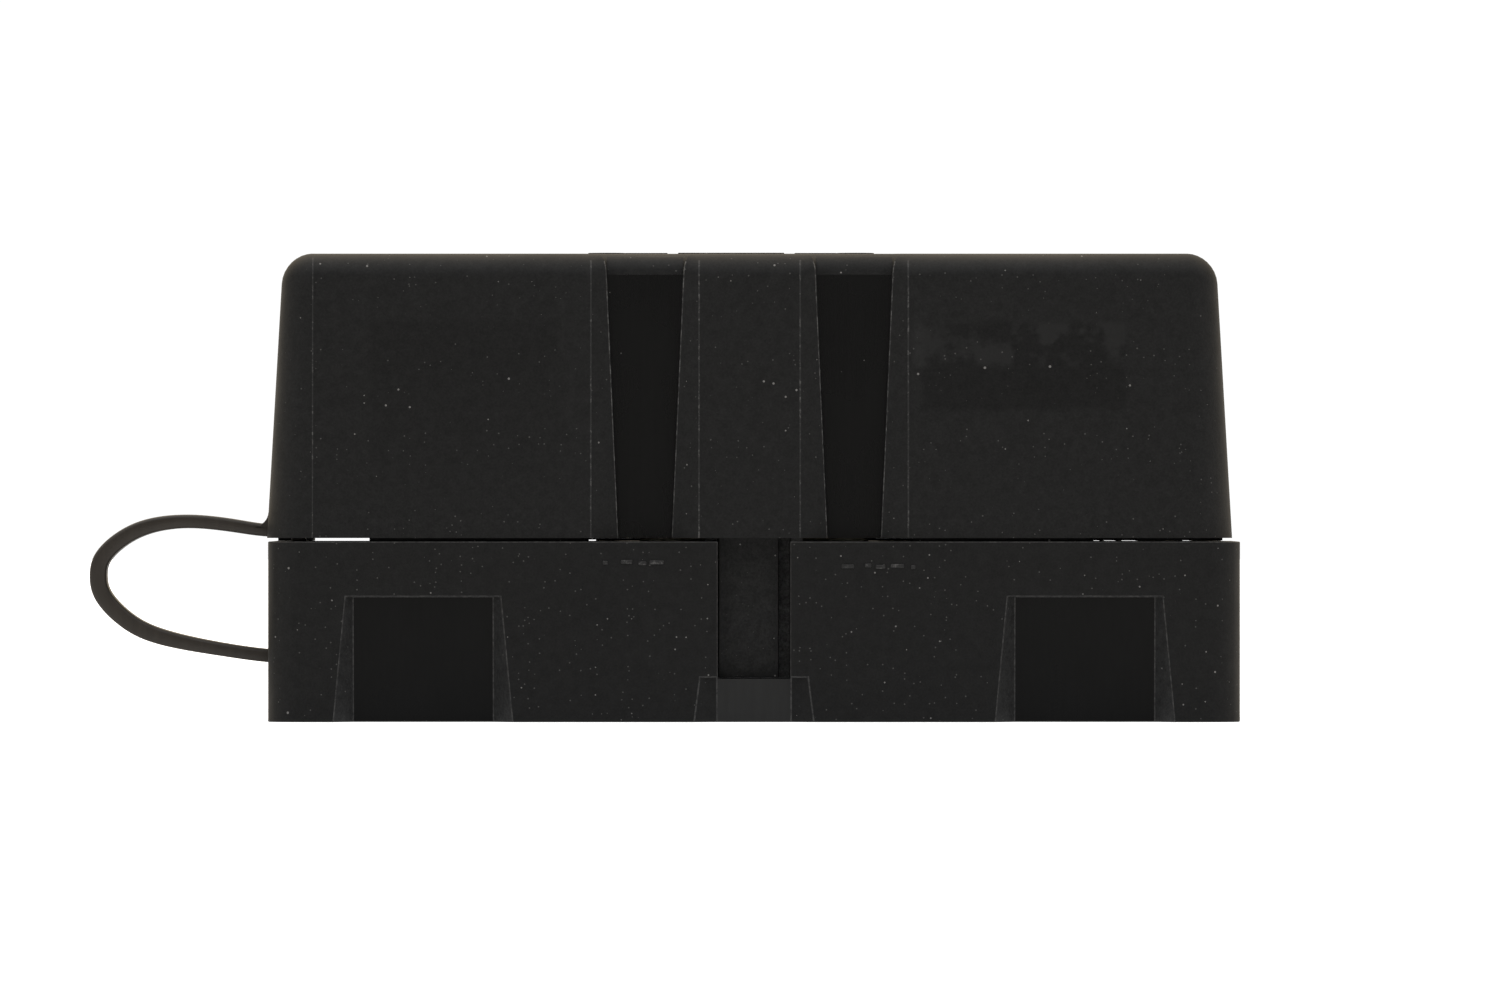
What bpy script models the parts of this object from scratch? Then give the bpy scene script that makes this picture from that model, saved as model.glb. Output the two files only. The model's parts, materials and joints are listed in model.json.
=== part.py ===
"""Covered bolt-down fuse holder: a moulded base and a latched cover tied together by a strap loop.

Metres, +Z up. The origin is the middle of the base's underside, +X runs along the length to the free end,
the strap loop is at -X, and the front is -Y. Lengths below are written in millimetres times MM.
"""

import math

import bmesh
import bpy
from mathutils import Matrix, Vector

MM = 0.001

# Clearances
TOUCH = 0.3 * MM          # between pieces that rest on each other
SLIDE = 0.3 * MM          # round pins and studs in their holes, each side
OVER = 2.0 * MM           # how far a cutter runs past the face it opens

# Base
BASE_LENGTH = 110.0 * MM
BASE_WIDTH = 46.0 * MM
BASE_HEIGHT = 20.4 * MM
BASE_CORNER = 4.0 * MM
BASE_WALL = 2.6 * MM
DECK_TOP = 13.0 * MM
DECK_THICK = 3.5 * MM

# Side pockets in the base's long faces, open at the bottom
POCKET_INSET = 17.6 * MM  # from the base's end to the pocket's middle
POCKET_HEIGHT = 14.2 * MM
POCKET_FLOOR = 15.9 * MM
POCKET_FLARE = 0.68       # how far each side wall spreads for its depth
POCKET_DEPTH_TOP = 1.2 * MM
POCKET_DEPTH_BOTTOM = 3.2 * MM
POCKET_BACKING = 2.0 * MM

# Snap latch
SLOT_WIDTH = 8.2 * MM
SLOT_FOOT = 5.0 * MM
STEP = 0.1 * MM            # keeps two faces that would lie in one plane apart
BAR_RECESS_TOP = 1.2 * MM     # the bar's face leans in towards the bottom
BAR_RECESS_BOTTOM = 1.6 * MM
BAR_FLARE = 1.6
BAR_DEPTH = 3.6 * MM          # from the base's face to the bar's back
BAR_UNDERCUT = 1.1 * MM
BAR_CATCH_FOOT = 2.6 * MM
TONGUE_WIDTH = 6.6 * MM
TONGUE_THICK = 1.8 * MM
TONGUE_FOOT = 1.0 * MM
TONGUE_RISE = 4.2 * MM     # from the cover's rim up to the tongue's root
TONGUE_PLAY = 2.2 * MM    # room behind the tongue when it is pushed in
SCREEN_THICK = 1.8 * MM   # the wall that keeps dirt from the well off the terminals
SCREEN_REACH = 1.5 * MM   # past each side of the slot, and above the base's top
BARB_REACH = 1.1 * MM
BARB_HEIGHT = 1.3 * MM

# Cover
COVER_GAP = 0.4 * MM      # between the base's top and the cover's rim
COVER_HEIGHT = 32.2 * MM
COVER_LENGTH = BASE_LENGTH - 0.7 * MM
COVER_WIDTH = BASE_WIDTH - 1.0 * MM
COVER_END_DRAFT = 1.85 * MM
COVER_SIDE_DRAFT = 2.0 * MM
COVER_SHIFT = -0.5 * MM  # the cover sits a little towards its strap
COVER_WALL = 2.4 * MM
COVER_CORNER = 4.2 * MM
COVER_TOP_EDGE = 2.9 * MM
ARCH_WIDTH = 14.0 * MM
ARCH_HEIGHT = 15.2 * MM

# Channels beside the cover's latch lobe
CHANNEL_PITCH = 23.6 * MM
CHANNEL_FLOOR_RIM = 6.1 * MM
CHANNEL_FLOOR_TOP = 8.9 * MM
CHANNEL_MOUTH = 12.2 * MM
CHANNEL_DEPTH = 3.35 * MM     # at the rim; the floor is upright, so draft makes it less at the top
CHANNEL_BACKING = 2.2 * MM
CHANNEL_BACKING_WIDTH = 12.0 * MM

# Lips inside the cover's long walls, which reach down into the base and keep the two in line
LIP_START = 18.5 * MM     # from the middle of the cover
LIP_END = 43.0 * MM
LIP_THICK = 1.2 * MM
LIP_REACH = 1.6 * MM      # below the rim
LIP_LEAN = 0.125          # how far its outer face leans out for its height

# Strap loop
STRAP_THICK = 1.5 * MM
STRAP_WIDTH = 6.5 * MM
STRAP_INSET = 5.4 * MM     # from the inside of the base's long wall to the strap's middle
STRAP_HEAD_WIDTH = 8.2 * MM
STRAP_HEAD_THICK = 1.5 * MM
STRAP_HEAD_HEIGHT = 2.6 * MM
STRAP_FOOT = 7.4 * MM      # height at which it enters the base
STRAP_HEAD_ROOM = 0.8 * MM # its height above the cover's rim where it enters the cover
STRAP_ROUTE = [            # millimetres out from the end wall, and share of the rise between the two ends
    (0.0, 0.0), (7.3, 0.074), (11.1, 0.127), (15.45, 0.246), (18.5, 0.465), (19.2, 0.634),
    (18.6, 0.8), (14.9, 1.015), (9.85, 1.081), (4.8, 1.05), (0.0, 1.0),
]
STRAP_STEPS = 4

# Terminals
STUD_PITCH = 50.8 * MM
STUD_DIAMETER = 8.0 * MM
STUD_TOP = 38.0 * MM
STUD_CHAMFER = 1.0 * MM
STUD_HEAD = 16.0 * MM
STUD_HEAD_THICK = 3.5 * MM
TOWER_LENGTH = 24.0 * MM
TOWER_WIDTH = 26.0 * MM
TOWER_TOP = 18.0 * MM
TOWER_ROOF = 4.0 * MM
PLATE_LENGTH = 22.0 * MM
PLATE_WIDTH = 24.0 * MM
PLATE_THICK = 2.0 * MM
PLATE_CORNER = 2.0 * MM
PEG_DIAMETER = 3.0 * MM
PEG_OFFSET = 8.8 * MM

# Fuse
LINK_THICK = 1.6 * MM
LINK_TAB = 16.0 * MM
LINK_NECK = 8.0 * MM
LINK_ELEMENT = 3.0 * MM
FUSE_LENGTH = 26.0 * MM
FUSE_WIDTH = 18.0 * MM
FUSE_HALF = 5.4 * MM
FUSE_CORNER = 1.5 * MM
WINDOW_LENGTH = 12.0 * MM
WINDOW_WIDTH = 6.0 * MM
WINDOW_THICK = 1.2 * MM
SIGHT_LENGTH = 9.0 * MM
SIGHT_WIDTH = 3.6 * MM
RIVET_DIAMETER = 2.4 * MM
RIVET_HEAD = 3.8 * MM
RIVET_HEAD_THICK = 0.6 * MM
RIVET_X = 10.0 * MM
RIVET_Y = 6.6 * MM

# Fasteners
WASHER_DIAMETER = 16.0 * MM
WASHER_THICK = 1.6 * MM
SPRING_DIAMETER = 14.1 * MM
SPRING_THICK = 2.0 * MM
SPRING_SPLIT = 1.2 * MM
NUT_ACROSS_FLATS = 13.0 * MM
NUT_THICK = 6.5 * MM
BUSH_DIAMETER = 10.0 * MM
BUSH_BORE = 6.4 * MM
BUSH_END_INSET = 11.5 * MM
BUSH_SIDE_INSET = 8.8 * MM
BOSS_WALL = 2.0 * MM
BOSS_RISE = 2.0 * MM      # above the deck

# Bottom plate
BOTTOM_THICK = 2.0 * MM
BOTTOM_CORNER = 2.0 * MM
POST_DIAMETER = 11.0 * MM
SCREW_END_INSET = 24.0 * MM
SCREW_SIDE_INSET = 3.8 * MM
SCREW_DIAMETER = 3.0 * MM
SCREW_HEAD = 5.6 * MM
SCREW_LENGTH = 8.0 * MM
SCREW_BOSS = 8.0 * MM

# Heights that follow from the stack on each stud
COVER_RIM = BASE_HEIGHT + COVER_GAP
COVER_TOP = COVER_RIM + COVER_HEIGHT
DECK_FOOT = DECK_TOP - DECK_THICK
TONGUE_ROOT = COVER_RIM + TONGUE_RISE
PLATE_FOOT = TOWER_TOP + TOUCH
LINK_FOOT = PLATE_FOOT + PLATE_THICK + TOUCH
LINK_TOP = LINK_FOOT + LINK_THICK
LINK_MIDDLE = (LINK_FOOT + LINK_TOP) / 2
WASHER_FOOT = LINK_TOP + TOUCH
SPRING_FOOT = WASHER_FOOT + WASHER_THICK + TOUCH
NUT_FOOT = SPRING_FOOT + SPRING_THICK + TOUCH
HEAD_TOP = TOWER_TOP - TOWER_ROOF - TOUCH
HEAD_FOOT = HEAD_TOP - STUD_HEAD_THICK
STUD_X = STUD_PITCH / 2
STUD_HOLE = STUD_DIAMETER + 2 * SLIDE

# Depths that follow from the latch, measured from the middle plane
BASE_FACE = BASE_WIDTH / 2
BAR_BACK = BASE_FACE - BAR_DEPTH
TONGUE_FACE = BAR_BACK - TOUCH
TONGUE_BACK = TONGUE_FACE - TONGUE_THICK
WELL_BACK = TONGUE_BACK - TONGUE_PLAY
LOWER_HALF = BASE_FACE - POCKET_DEPTH_BOTTOM - POCKET_BACKING
CHANNEL_FACE = COVER_WIDTH / 2 - CHANNEL_DEPTH
BUSH_X = BASE_LENGTH / 2 - BUSH_END_INSET
BUSH_Y = LOWER_HALF - BUSH_SIDE_INSET
SCREW_X = BASE_LENGTH / 2 - SCREW_END_INSET
SCREW_Y = LOWER_HALF - SCREW_SIDE_INSET
POCKET_X = BASE_LENGTH / 2 - POCKET_INSET
STRAP_Y = -(LOWER_HALF - STRAP_INSET)
STRAP_TOP = COVER_RIM + STRAP_HEAD_ROOM
BOTTOM_HALF_LENGTH = BASE_LENGTH / 2 - BASE_WALL - TOUCH
BOTTOM_HALF_WIDTH = LOWER_HALF - TOUCH

SIDES = {"front": -1, "rear": 1}
ENDS = {"left": -1, "right": 1}


# ---------------------------------------------------------------- scene

def fresh_collection(name):
    collection = bpy.data.collections.new(name)
    bpy.context.scene.collection.children.link(collection)
    return collection


for leftover in list(bpy.data.objects):
    bpy.data.objects.remove(leftover)
PARTS = fresh_collection("fuse_holder")
CUTTERS = fresh_collection("cutters")


def finish(name, colour, roughness, metallic):
    material = bpy.data.materials.new(name)
    material.use_nodes = True
    shader = material.node_tree.nodes["Principled BSDF"]
    shader.inputs["Base Color"].default_value = (*colour, 1.0)
    shader.inputs["Roughness"].default_value = roughness
    shader.inputs["Metallic"].default_value = metallic
    return material


BLACK_NYLON = finish("black_nylon", (0.016, 0.015, 0.016), 0.55, 0.0)
COVER_NYLON = finish("cover_nylon", (0.015, 0.014, 0.015), 0.58, 0.0)
STRAP_NYLON = finish("strap_nylon", (0.020, 0.017, 0.014), 0.5, 0.0)
FIBRE_BOARD = finish("fibre_board", (0.03, 0.028, 0.026), 0.7, 0.0)
ZINC_STEEL = finish("zinc_plated_steel", (0.62, 0.62, 0.60), 0.35, 1.0)
BRASS = finish("tinned_brass", (0.72, 0.66, 0.50), 0.38, 1.0)
LINK_METAL = finish("zinc_link", (0.58, 0.59, 0.60), 0.4, 1.0)
FUSE_PLASTIC = finish("fuse_body_plastic", (0.55, 0.52, 0.46), 0.5, 0.0)
CLEAR_PLASTIC = finish("clear_plastic", (0.75, 0.75, 0.72), 0.1, 0.0)


# ---------------------------------------------------------------- shapes

def new_object(name, mesh, collection=None):
    obj = bpy.data.objects.new(name, mesh)
    (collection or CUTTERS).objects.link(obj)
    if collection is None:
        obj.hide_render = True
        obj.display_type = "WIRE"
    return obj


def as_object(name, shape, collection=None):
    mesh = bpy.data.meshes.new(name)
    shape.to_mesh(mesh)
    shape.free()
    return new_object(name, mesh, collection)


def part(name, shape, material):
    obj = as_object(name, shape, PARTS)
    obj.data.materials.append(material)
    return obj


def eight_corners(place):
    """A solid whose eight corners are where place(sx, sy, sz) says, each sign being -1 or 1."""
    shape = bmesh.new()
    bmesh.ops.create_cube(shape, size=2.0)
    for vertex in shape.verts:
        signs = [1 if value > 0 else -1 for value in vertex.co]
        vertex.co = place(*signs)
    return shape


def box(low, high):
    return eight_corners(lambda *signs: Vector(
        high[axis] if sign > 0 else low[axis] for axis, sign in enumerate(signs)))


def round_edges(shape, chosen, radius, segments):
    bmesh.ops.bevel(
        shape, geom=[edge for edge in shape.edges if chosen(edge)], offset=radius,
        offset_type="OFFSET", segments=segments, profile=0.5, affect="EDGES", clamp_overlap=True)
    return shape


def upright(edge):
    rise = abs(edge.verts[0].co.z - edge.verts[1].co.z)
    return rise > 0.9 * edge.calc_length()


def along_x(edge):
    return abs(edge.verts[0].co.x - edge.verts[1].co.x) > 0.9 * edge.calc_length()


def drum(radius, foot, top, at=(0.0, 0.0), steps=24):
    shape = bmesh.new()
    bmesh.ops.create_cone(
        shape, cap_ends=True, segments=steps, radius1=radius, radius2=radius, depth=top - foot)
    bmesh.ops.translate(shape, verts=shape.verts, vec=(at[0], at[1], (foot + top) / 2))
    return shape


def turned(name, profile, at, material, steps=32):
    """A turned piece: profile is (radius, height) running down the outer side."""
    mesh = bpy.data.meshes.new(name)
    points = [(radius, 0.0, height) for radius, height in profile]
    bored = profile[0][0] > 0
    last = len(points) - 1
    edges = [(index, index + 1) for index in range(last)]
    if bored:
        edges.append((last, 0))
    mesh.from_pydata(points, edges, [])
    obj = new_object(name, mesh, PARTS)
    mesh.materials.append(material)
    obj.location = (at[0], at[1], 0.0)
    screw = obj.modifiers.new("turn", "SCREW")
    screw.steps = steps
    screw.render_steps = steps
    screw.use_merge_vertices = True
    screw.merge_threshold = 0.00001
    screw.use_smooth_shade = True
    return obj


def combine(target, operation, shape):
    name = f"{target.name}_{operation.lower()}_{len(target.modifiers)}"
    tool = as_object(name, shape)
    modifier = target.modifiers.new(name, "BOOLEAN")
    modifier.operation = operation
    modifier.object = tool
    modifier.solver = "EXACT"


def cut(target, shape):
    combine(target, "DIFFERENCE", shape)


def join(target, shape):
    combine(target, "UNION", shape)


def span(side, near, far):
    """The two ordered y values of a band between two depths on one side."""
    return sorted((side * near, side * far))


# ---------------------------------------------------------------- base

def recess(centre, side, height, floor, flare, depths):
    """A cutter for a recess in a long face that opens at the bottom.

    Its floor leans in, from the first depth at the top to the second at the bottom, and its side walls spread.
    """
    def place(sx, sy, sz):
        outer = sy == side
        level = height if sz > 0 else -OVER
        depth = depths[0] + (depths[1] - depths[0]) * (1 - level / height)
        half = floor / 2 + (flare * (depth + OVER) if outer else 0.0)
        return Vector((centre + sx * half, side * (BASE_FACE + (OVER if outer else -depth)), level))

    return eight_corners(place)


def pocket(centre, side):
    depths = (POCKET_DEPTH_TOP, POCKET_DEPTH_BOTTOM)
    return recess(centre, side, POCKET_HEIGHT, POCKET_FLOOR, POCKET_FLARE, depths)


def catch_recess(side):
    """The shallow recess in front of the catch bar."""
    depths = (BAR_RECESS_TOP, BAR_RECESS_BOTTOM)
    return recess(0.0, side, SLOT_FOOT + STEP, SLOT_WIDTH + 2 * STEP, BAR_FLARE, depths)


def pocket_backing(centre, side):
    """The wall behind a pocket, where it stands above the deck."""
    half = POCKET_FLOOR / 2 + POCKET_BACKING
    low, high = span(side, BASE_FACE - POCKET_DEPTH_BOTTOM - POCKET_BACKING / 2, BASE_FACE - BASE_WALL / 2)
    foot = DECK_TOP - DECK_THICK / 2
    return box((centre - half, low, foot), (centre + half, high, POCKET_HEIGHT + POCKET_BACKING))


def well_screen(side):
    """The wall behind a latch well, from the bottom plate up into the cover."""
    half = SLOT_WIDTH / 2 + SCREEN_REACH
    low, high = span(side, WELL_BACK - SCREEN_THICK, WELL_BACK + SCREEN_THICK / 2)
    return box((-half, low, BOTTOM_THICK + TOUCH), (half, high, BASE_HEIGHT + SCREEN_REACH))


def mount_places():
    return {"left": (-BUSH_X, BUSH_Y), "right": (BUSH_X, -BUSH_Y)}


def screw_places():
    return [(sx * SCREW_X, sy * SCREW_Y) for sx in (-1, 1) for sy in (-1, 1)]


def make_base():
    half_length, half_width = BASE_LENGTH / 2, BASE_WIDTH / 2
    outer = box((-half_length, -half_width, 0.0), (half_length, half_width, BASE_HEIGHT))
    round_edges(outer, upright, BASE_CORNER, 5)
    base = part("base_shell", outer, BLACK_NYLON)

    inner_length, inner_width = half_length - BASE_WALL, half_width - BASE_WALL
    tray = box((-inner_length, -inner_width, DECK_TOP), (inner_length, inner_width, BASE_HEIGHT + OVER))
    cut(base, round_edges(tray, upright, BASE_CORNER - BASE_WALL, 3))
    under = box((-inner_length, -LOWER_HALF, -OVER), (inner_length, LOWER_HALF, DECK_FOOT))
    cut(base, round_edges(under, upright, BOTTOM_CORNER, 3))

    for end in ENDS.values():
        join(base, box(
            (end * STUD_X - TOWER_LENGTH / 2, -TOWER_WIDTH / 2, DECK_FOOT + DECK_THICK / 4),
            (end * STUD_X + TOWER_LENGTH / 2, TOWER_WIDTH / 2, TOWER_TOP)))
        for side in SIDES.values():
            join(base, pocket_backing(end * POCKET_X, side))
            join(base, drum(
                PEG_DIAMETER / 2, TOWER_TOP - PLATE_THICK, PLATE_FOOT + PLATE_THICK,
                (end * (STUD_X - PEG_OFFSET), side * PEG_OFFSET), 12))
    for place in mount_places().values():
        join(base, drum(BUSH_DIAMETER / 2 + SLIDE + BOSS_WALL, 0.0, DECK_TOP + BOSS_RISE, place, 32))
    for place in screw_places():
        join(base, drum(SCREW_BOSS / 2, BOTTOM_THICK + TOUCH, DECK_FOOT + DECK_THICK / 2, place, 16))
    for side in SIDES.values():
        join(base, well_screen(side))

    for end in ENDS.values():
        reach = STUD_HEAD / 2 + TOUCH
        cut(base, box(
            (end * STUD_X - reach, -reach, DECK_FOOT - OVER),
            (end * STUD_X + reach, reach, TOWER_TOP - TOWER_ROOF)))
        cut(base, drum(STUD_HOLE / 2, DECK_FOOT, TOWER_TOP + OVER, (end * STUD_X, 0.0), 32))
        for side in SIDES.values():
            cut(base, pocket(end * POCKET_X, side))
    for place in mount_places().values():
        cut(base, drum(BUSH_DIAMETER / 2 + SLIDE, -OVER, BASE_HEIGHT, place, 32))
    for place in screw_places():
        cut(base, drum(SCREW_DIAMETER / 2 + SLIDE, 0.0, BOTTOM_THICK + SCREW_LENGTH, place, 12))
    for side in SIDES.values():
        low, high = span(side, WELL_BACK, BAR_BACK)
        cut(base, box((-SLOT_WIDTH / 2, low, -OVER), (SLOT_WIDTH / 2, high, BASE_HEIGHT + OVER)))
        low, high = span(side, WELL_BACK, BASE_FACE + OVER)
        cut(base, box((-SLOT_WIDTH / 2, low, SLOT_FOOT), (SLOT_WIDTH / 2, high, BASE_HEIGHT + OVER)))
        low, high = span(side, WELL_BACK, BAR_BACK + BAR_UNDERCUT)
        cut(base, box((-SLOT_WIDTH / 2, low, -OVER), (SLOT_WIDTH / 2, high, BAR_CATCH_FOOT)))
        cut(base, catch_recess(side))

    slot_half = STRAP_WIDTH / 2 + SLIDE
    cut(base, box(
        (-half_length - OVER, STRAP_Y - slot_half, STRAP_FOOT - STRAP_THICK / 2 - 2 * SLIDE),
        (-inner_length + OVER, STRAP_Y + slot_half, STRAP_FOOT + STRAP_THICK / 2 + 2 * SLIDE)))
    return base


def make_bottom_plate():
    shape = box(
        (-BOTTOM_HALF_LENGTH, -BOTTOM_HALF_WIDTH, 0.0), (BOTTOM_HALF_LENGTH, BOTTOM_HALF_WIDTH, BOTTOM_THICK))
    plate = part("bottom_plate", round_edges(shape, upright, BOTTOM_CORNER - TOUCH, 3), FIBRE_BOARD)
    for end in ENDS.values():
        join(plate, drum(POST_DIAMETER / 2, BOTTOM_THICK / 2, HEAD_FOOT - TOUCH, (end * STUD_X, 0.0), 20))
    for place in mount_places().values():
        reach = BUSH_DIAMETER / 2 + SLIDE + BOSS_WALL + TOUCH
        cut(plate, drum(reach, -OVER, BOTTOM_THICK + OVER, place, 32))
    for side in SIDES.values():
        half = SLOT_WIDTH / 2 + TOUCH
        low, high = span(side, WELL_BACK - TOUCH, BASE_FACE)
        cut(plate, box((-half, low, -OVER), (half, high, BOTTOM_THICK + OVER)))
    for place in screw_places():
        cut(plate, drum(SCREW_DIAMETER / 2 + SLIDE, -OVER, BOTTOM_THICK + OVER, place, 16))
        sink = bmesh.new()
        depth = (SCREW_HEAD - SCREW_DIAMETER) / 2
        bmesh.ops.create_cone(
            sink, cap_ends=True, segments=16, radius1=SCREW_HEAD / 2 + SLIDE + OVER,
            radius2=SCREW_DIAMETER / 2 + SLIDE, depth=depth + OVER)
        bmesh.ops.translate(sink, verts=sink.verts, vec=(place[0], place[1], (depth - OVER) / 2))
        cut(plate, sink)
    return plate


def make_plate_screws():
    depth = (SCREW_HEAD - SCREW_DIAMETER) / 2
    root = SCREW_DIAMETER / 2
    profile = [
        (0.0, SCREW_LENGTH), (0.5 * root, SCREW_LENGTH), (root, SCREW_LENGTH - root),
        (root, depth + TOUCH), (SCREW_HEAD / 2, TOUCH), (0.0, TOUCH)]
    for number, place in enumerate(screw_places(), start=1):
        turned(f"plate_screw_{number}", profile, place, ZINC_STEEL, 16)


# ---------------------------------------------------------------- terminals

def make_stud(end_name, end):
    shape = drum(STUD_DIAMETER / 2, HEAD_TOP - STUD_HEAD_THICK / 2, STUD_TOP, (end * STUD_X, 0.0), 32)
    tip = [edge for edge in shape.edges if all(v.co.z > STUD_TOP - TOUCH for v in edge.verts)]
    bmesh.ops.bevel(shape, geom=tip, offset=STUD_CHAMFER, segments=1, profile=0.5, affect="EDGES")
    stud = part(f"stud_{end_name}", shape, ZINC_STEEL)
    head = box(
        (end * STUD_X - STUD_HEAD / 2, -STUD_HEAD / 2, HEAD_FOOT),
        (end * STUD_X + STUD_HEAD / 2, STUD_HEAD / 2, HEAD_TOP))
    join(stud, round_edges(head, upright, STUD_CHAMFER, 2))


def make_terminal_plate(end_name, end):
    shape = box(
        (end * STUD_X - PLATE_LENGTH / 2, -PLATE_WIDTH / 2, PLATE_FOOT),
        (end * STUD_X + PLATE_LENGTH / 2, PLATE_WIDTH / 2, PLATE_FOOT + PLATE_THICK))
    plate = part(f"terminal_plate_{end_name}", round_edges(shape, upright, PLATE_CORNER, 3), BRASS)
    foot, top = PLATE_FOOT - OVER, PLATE_FOOT + PLATE_THICK + OVER
    cut(plate, drum(STUD_HOLE / 2, foot, top, (end * STUD_X, 0.0), 32))
    for side in SIDES.values():
        hole = PEG_DIAMETER / 2 + SLIDE
        cut(plate, drum(hole, foot, top, (end * (STUD_X - PEG_OFFSET), side * PEG_OFFSET), 16))


def arc(centre, radius, start, end, steps):
    """Points along an arc in the plan, angles in degrees, both ends included."""
    return [
        (centre[0] + radius * math.cos(math.radians(angle)), centre[1] + radius * math.sin(math.radians(angle)))
        for angle in (start + (end - start) * step / steps for step in range(steps + 1))]


def flat_outline(name, loops, foot, thickness, material):
    """A plate cut to closed plan outlines, the first one outside and the others holes."""
    curve = bpy.data.curves.new(name, "CURVE")
    curve.dimensions = "2D"
    curve.fill_mode = "BOTH"
    curve.extrude = thickness / 2
    for loop in loops:
        spline = curve.splines.new("POLY")
        spline.points.add(len(loop) - 1)
        for point, (x, y) in zip(spline.points, loop):
            point.co = (x, y, 0.0, 1.0)
        spline.use_cyclic_u = True
    curve.materials.append(material)
    obj = bpy.data.objects.new(name, curve)
    PARTS.objects.link(obj)
    obj.location.z = foot + thickness / 2
    return obj


def make_fuse_link():
    """Two round-ended tabs joined by a neck that narrows to the melting element."""
    tab, neck, element = LINK_TAB / 2, LINK_NECK / 2, LINK_ELEMENT / 2
    shoulder = FUSE_LENGTH / 2 + TOUCH + 0.5 * MM
    right = arc((STUD_X, 0.0), tab, -90, 90, 16)
    top = [(shoulder, tab), (shoulder, neck), (FUSE_LENGTH / 5, neck), (FUSE_LENGTH / 8, element)]
    upper = right + top + [(-x, y) for x, y in reversed(top)]
    left = arc((-STUD_X, 0.0), tab, 90, 270, 16)
    lower = [(x, -y) for x, y in top]
    outline = upper + left + [(-x, y) for x, y in lower] + list(reversed(lower))
    holes = [arc((end * STUD_X, 0.0), STUD_HOLE / 2, 0, 345, 23) for end in ENDS.values()]
    flat_outline("fuse_link", [outline, *holes], LINK_FOOT, LINK_THICK, LINK_METAL)


def rivet_places():
    return [(sx * RIVET_X, sy * RIVET_Y) for sx in (-1, 1) for sy in (-1, 1)]


def make_fuse_half(name, level):
    """One moulded half of the fuse's body; level is -1 below the element and 1 above it."""
    joint_face = LINK_MIDDLE + level * TOUCH / 2
    outer_face = LINK_MIDDLE + level * FUSE_HALF
    low, high = sorted((joint_face, outer_face))
    shape = box((-FUSE_LENGTH / 2, -FUSE_WIDTH / 2, low), (FUSE_LENGTH / 2, FUSE_WIDTH / 2, high))
    half = part(name, round_edges(shape, upright, FUSE_CORNER, 3), FUSE_PLASTIC)
    groove = LINK_NECK / 2 + SLIDE
    reach = LINK_THICK / 2 + TOUCH
    low, high = sorted((LINK_MIDDLE - level * OVER, LINK_MIDDLE + level * reach))
    cut(half, box((-FUSE_LENGTH, -groove, low), (FUSE_LENGTH, groove, high)))
    for place in rivet_places():
        cut(half, drum(RIVET_DIAMETER / 2 + SLIDE, DECK_TOP, COVER_RIM * 2, place, 12))
    if level > 0:
        seat = outer_face - WINDOW_THICK - TOUCH
        cut(half, box(
            (-WINDOW_LENGTH / 2, -WINDOW_WIDTH / 2, seat),
            (WINDOW_LENGTH / 2, WINDOW_WIDTH / 2, outer_face + OVER)))
        cut(half, box(
            (-SIGHT_LENGTH / 2, -SIGHT_WIDTH / 2, LINK_MIDDLE),
            (SIGHT_LENGTH / 2, SIGHT_WIDTH / 2, outer_face + OVER)))


def make_fuse():
    make_fuse_link()
    make_fuse_half("fuse_body_lower", -1)
    make_fuse_half("fuse_body_upper", 1)
    crown = LINK_MIDDLE + FUSE_HALF
    part("fuse_window", round_edges(box(
        (-WINDOW_LENGTH / 2 + TOUCH, -WINDOW_WIDTH / 2 + TOUCH, crown - WINDOW_THICK),
        (WINDOW_LENGTH / 2 - TOUCH, WINDOW_WIDTH / 2 - TOUCH, crown)), upright, 0.4 * MM, 2), CLEAR_PLASTIC)
    shank, head = RIVET_DIAMETER / 2, RIVET_HEAD / 2
    upper, lower = crown + TOUCH, LINK_MIDDLE - FUSE_HALF - TOUCH
    profile = [
        (0.0, upper + RIVET_HEAD_THICK), (head * 0.7, upper + RIVET_HEAD_THICK), (head, upper + TOUCH),
        (head, upper), (shank, upper), (shank, lower), (head, lower), (head, lower - TOUCH),
        (head * 0.7, lower - RIVET_HEAD_THICK), (0.0, lower - RIVET_HEAD_THICK)]
    for number, place in enumerate(rivet_places(), start=1):
        turned(f"fuse_rivet_{number}", profile, place, ZINC_STEEL, 12)


def ring_profile(outer, bore, foot, top, chamfer):
    return [
        (bore, top), (outer - chamfer, top), (outer, top - chamfer), (outer, foot + chamfer),
        (outer - chamfer, foot), (bore, foot)]


def make_nut(name, at):
    across_corners = NUT_ACROSS_FLATS / math.cos(math.radians(30))
    nut = part(name, drum(across_corners / 2, NUT_FOOT, NUT_FOOT + NUT_THICK, at, 6), ZINC_STEEL)
    cut(nut, drum(STUD_HOLE / 2, NUT_FOOT - OVER, NUT_FOOT + NUT_THICK + OVER, at, 32))
    trim = bmesh.new()
    bmesh.ops.create_cone(
        trim, cap_ends=True, segments=32, radius1=NUT_ACROSS_FLATS, radius2=NUT_ACROSS_FLATS / 2 * 0.98,
        depth=NUT_ACROSS_FLATS / 2)
    bmesh.ops.translate(
        trim, verts=trim.verts, vec=(at[0], at[1], NUT_FOOT + NUT_THICK - NUT_ACROSS_FLATS / 4 + TOUCH / 3))
    combine(nut, "INTERSECT", trim)


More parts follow.
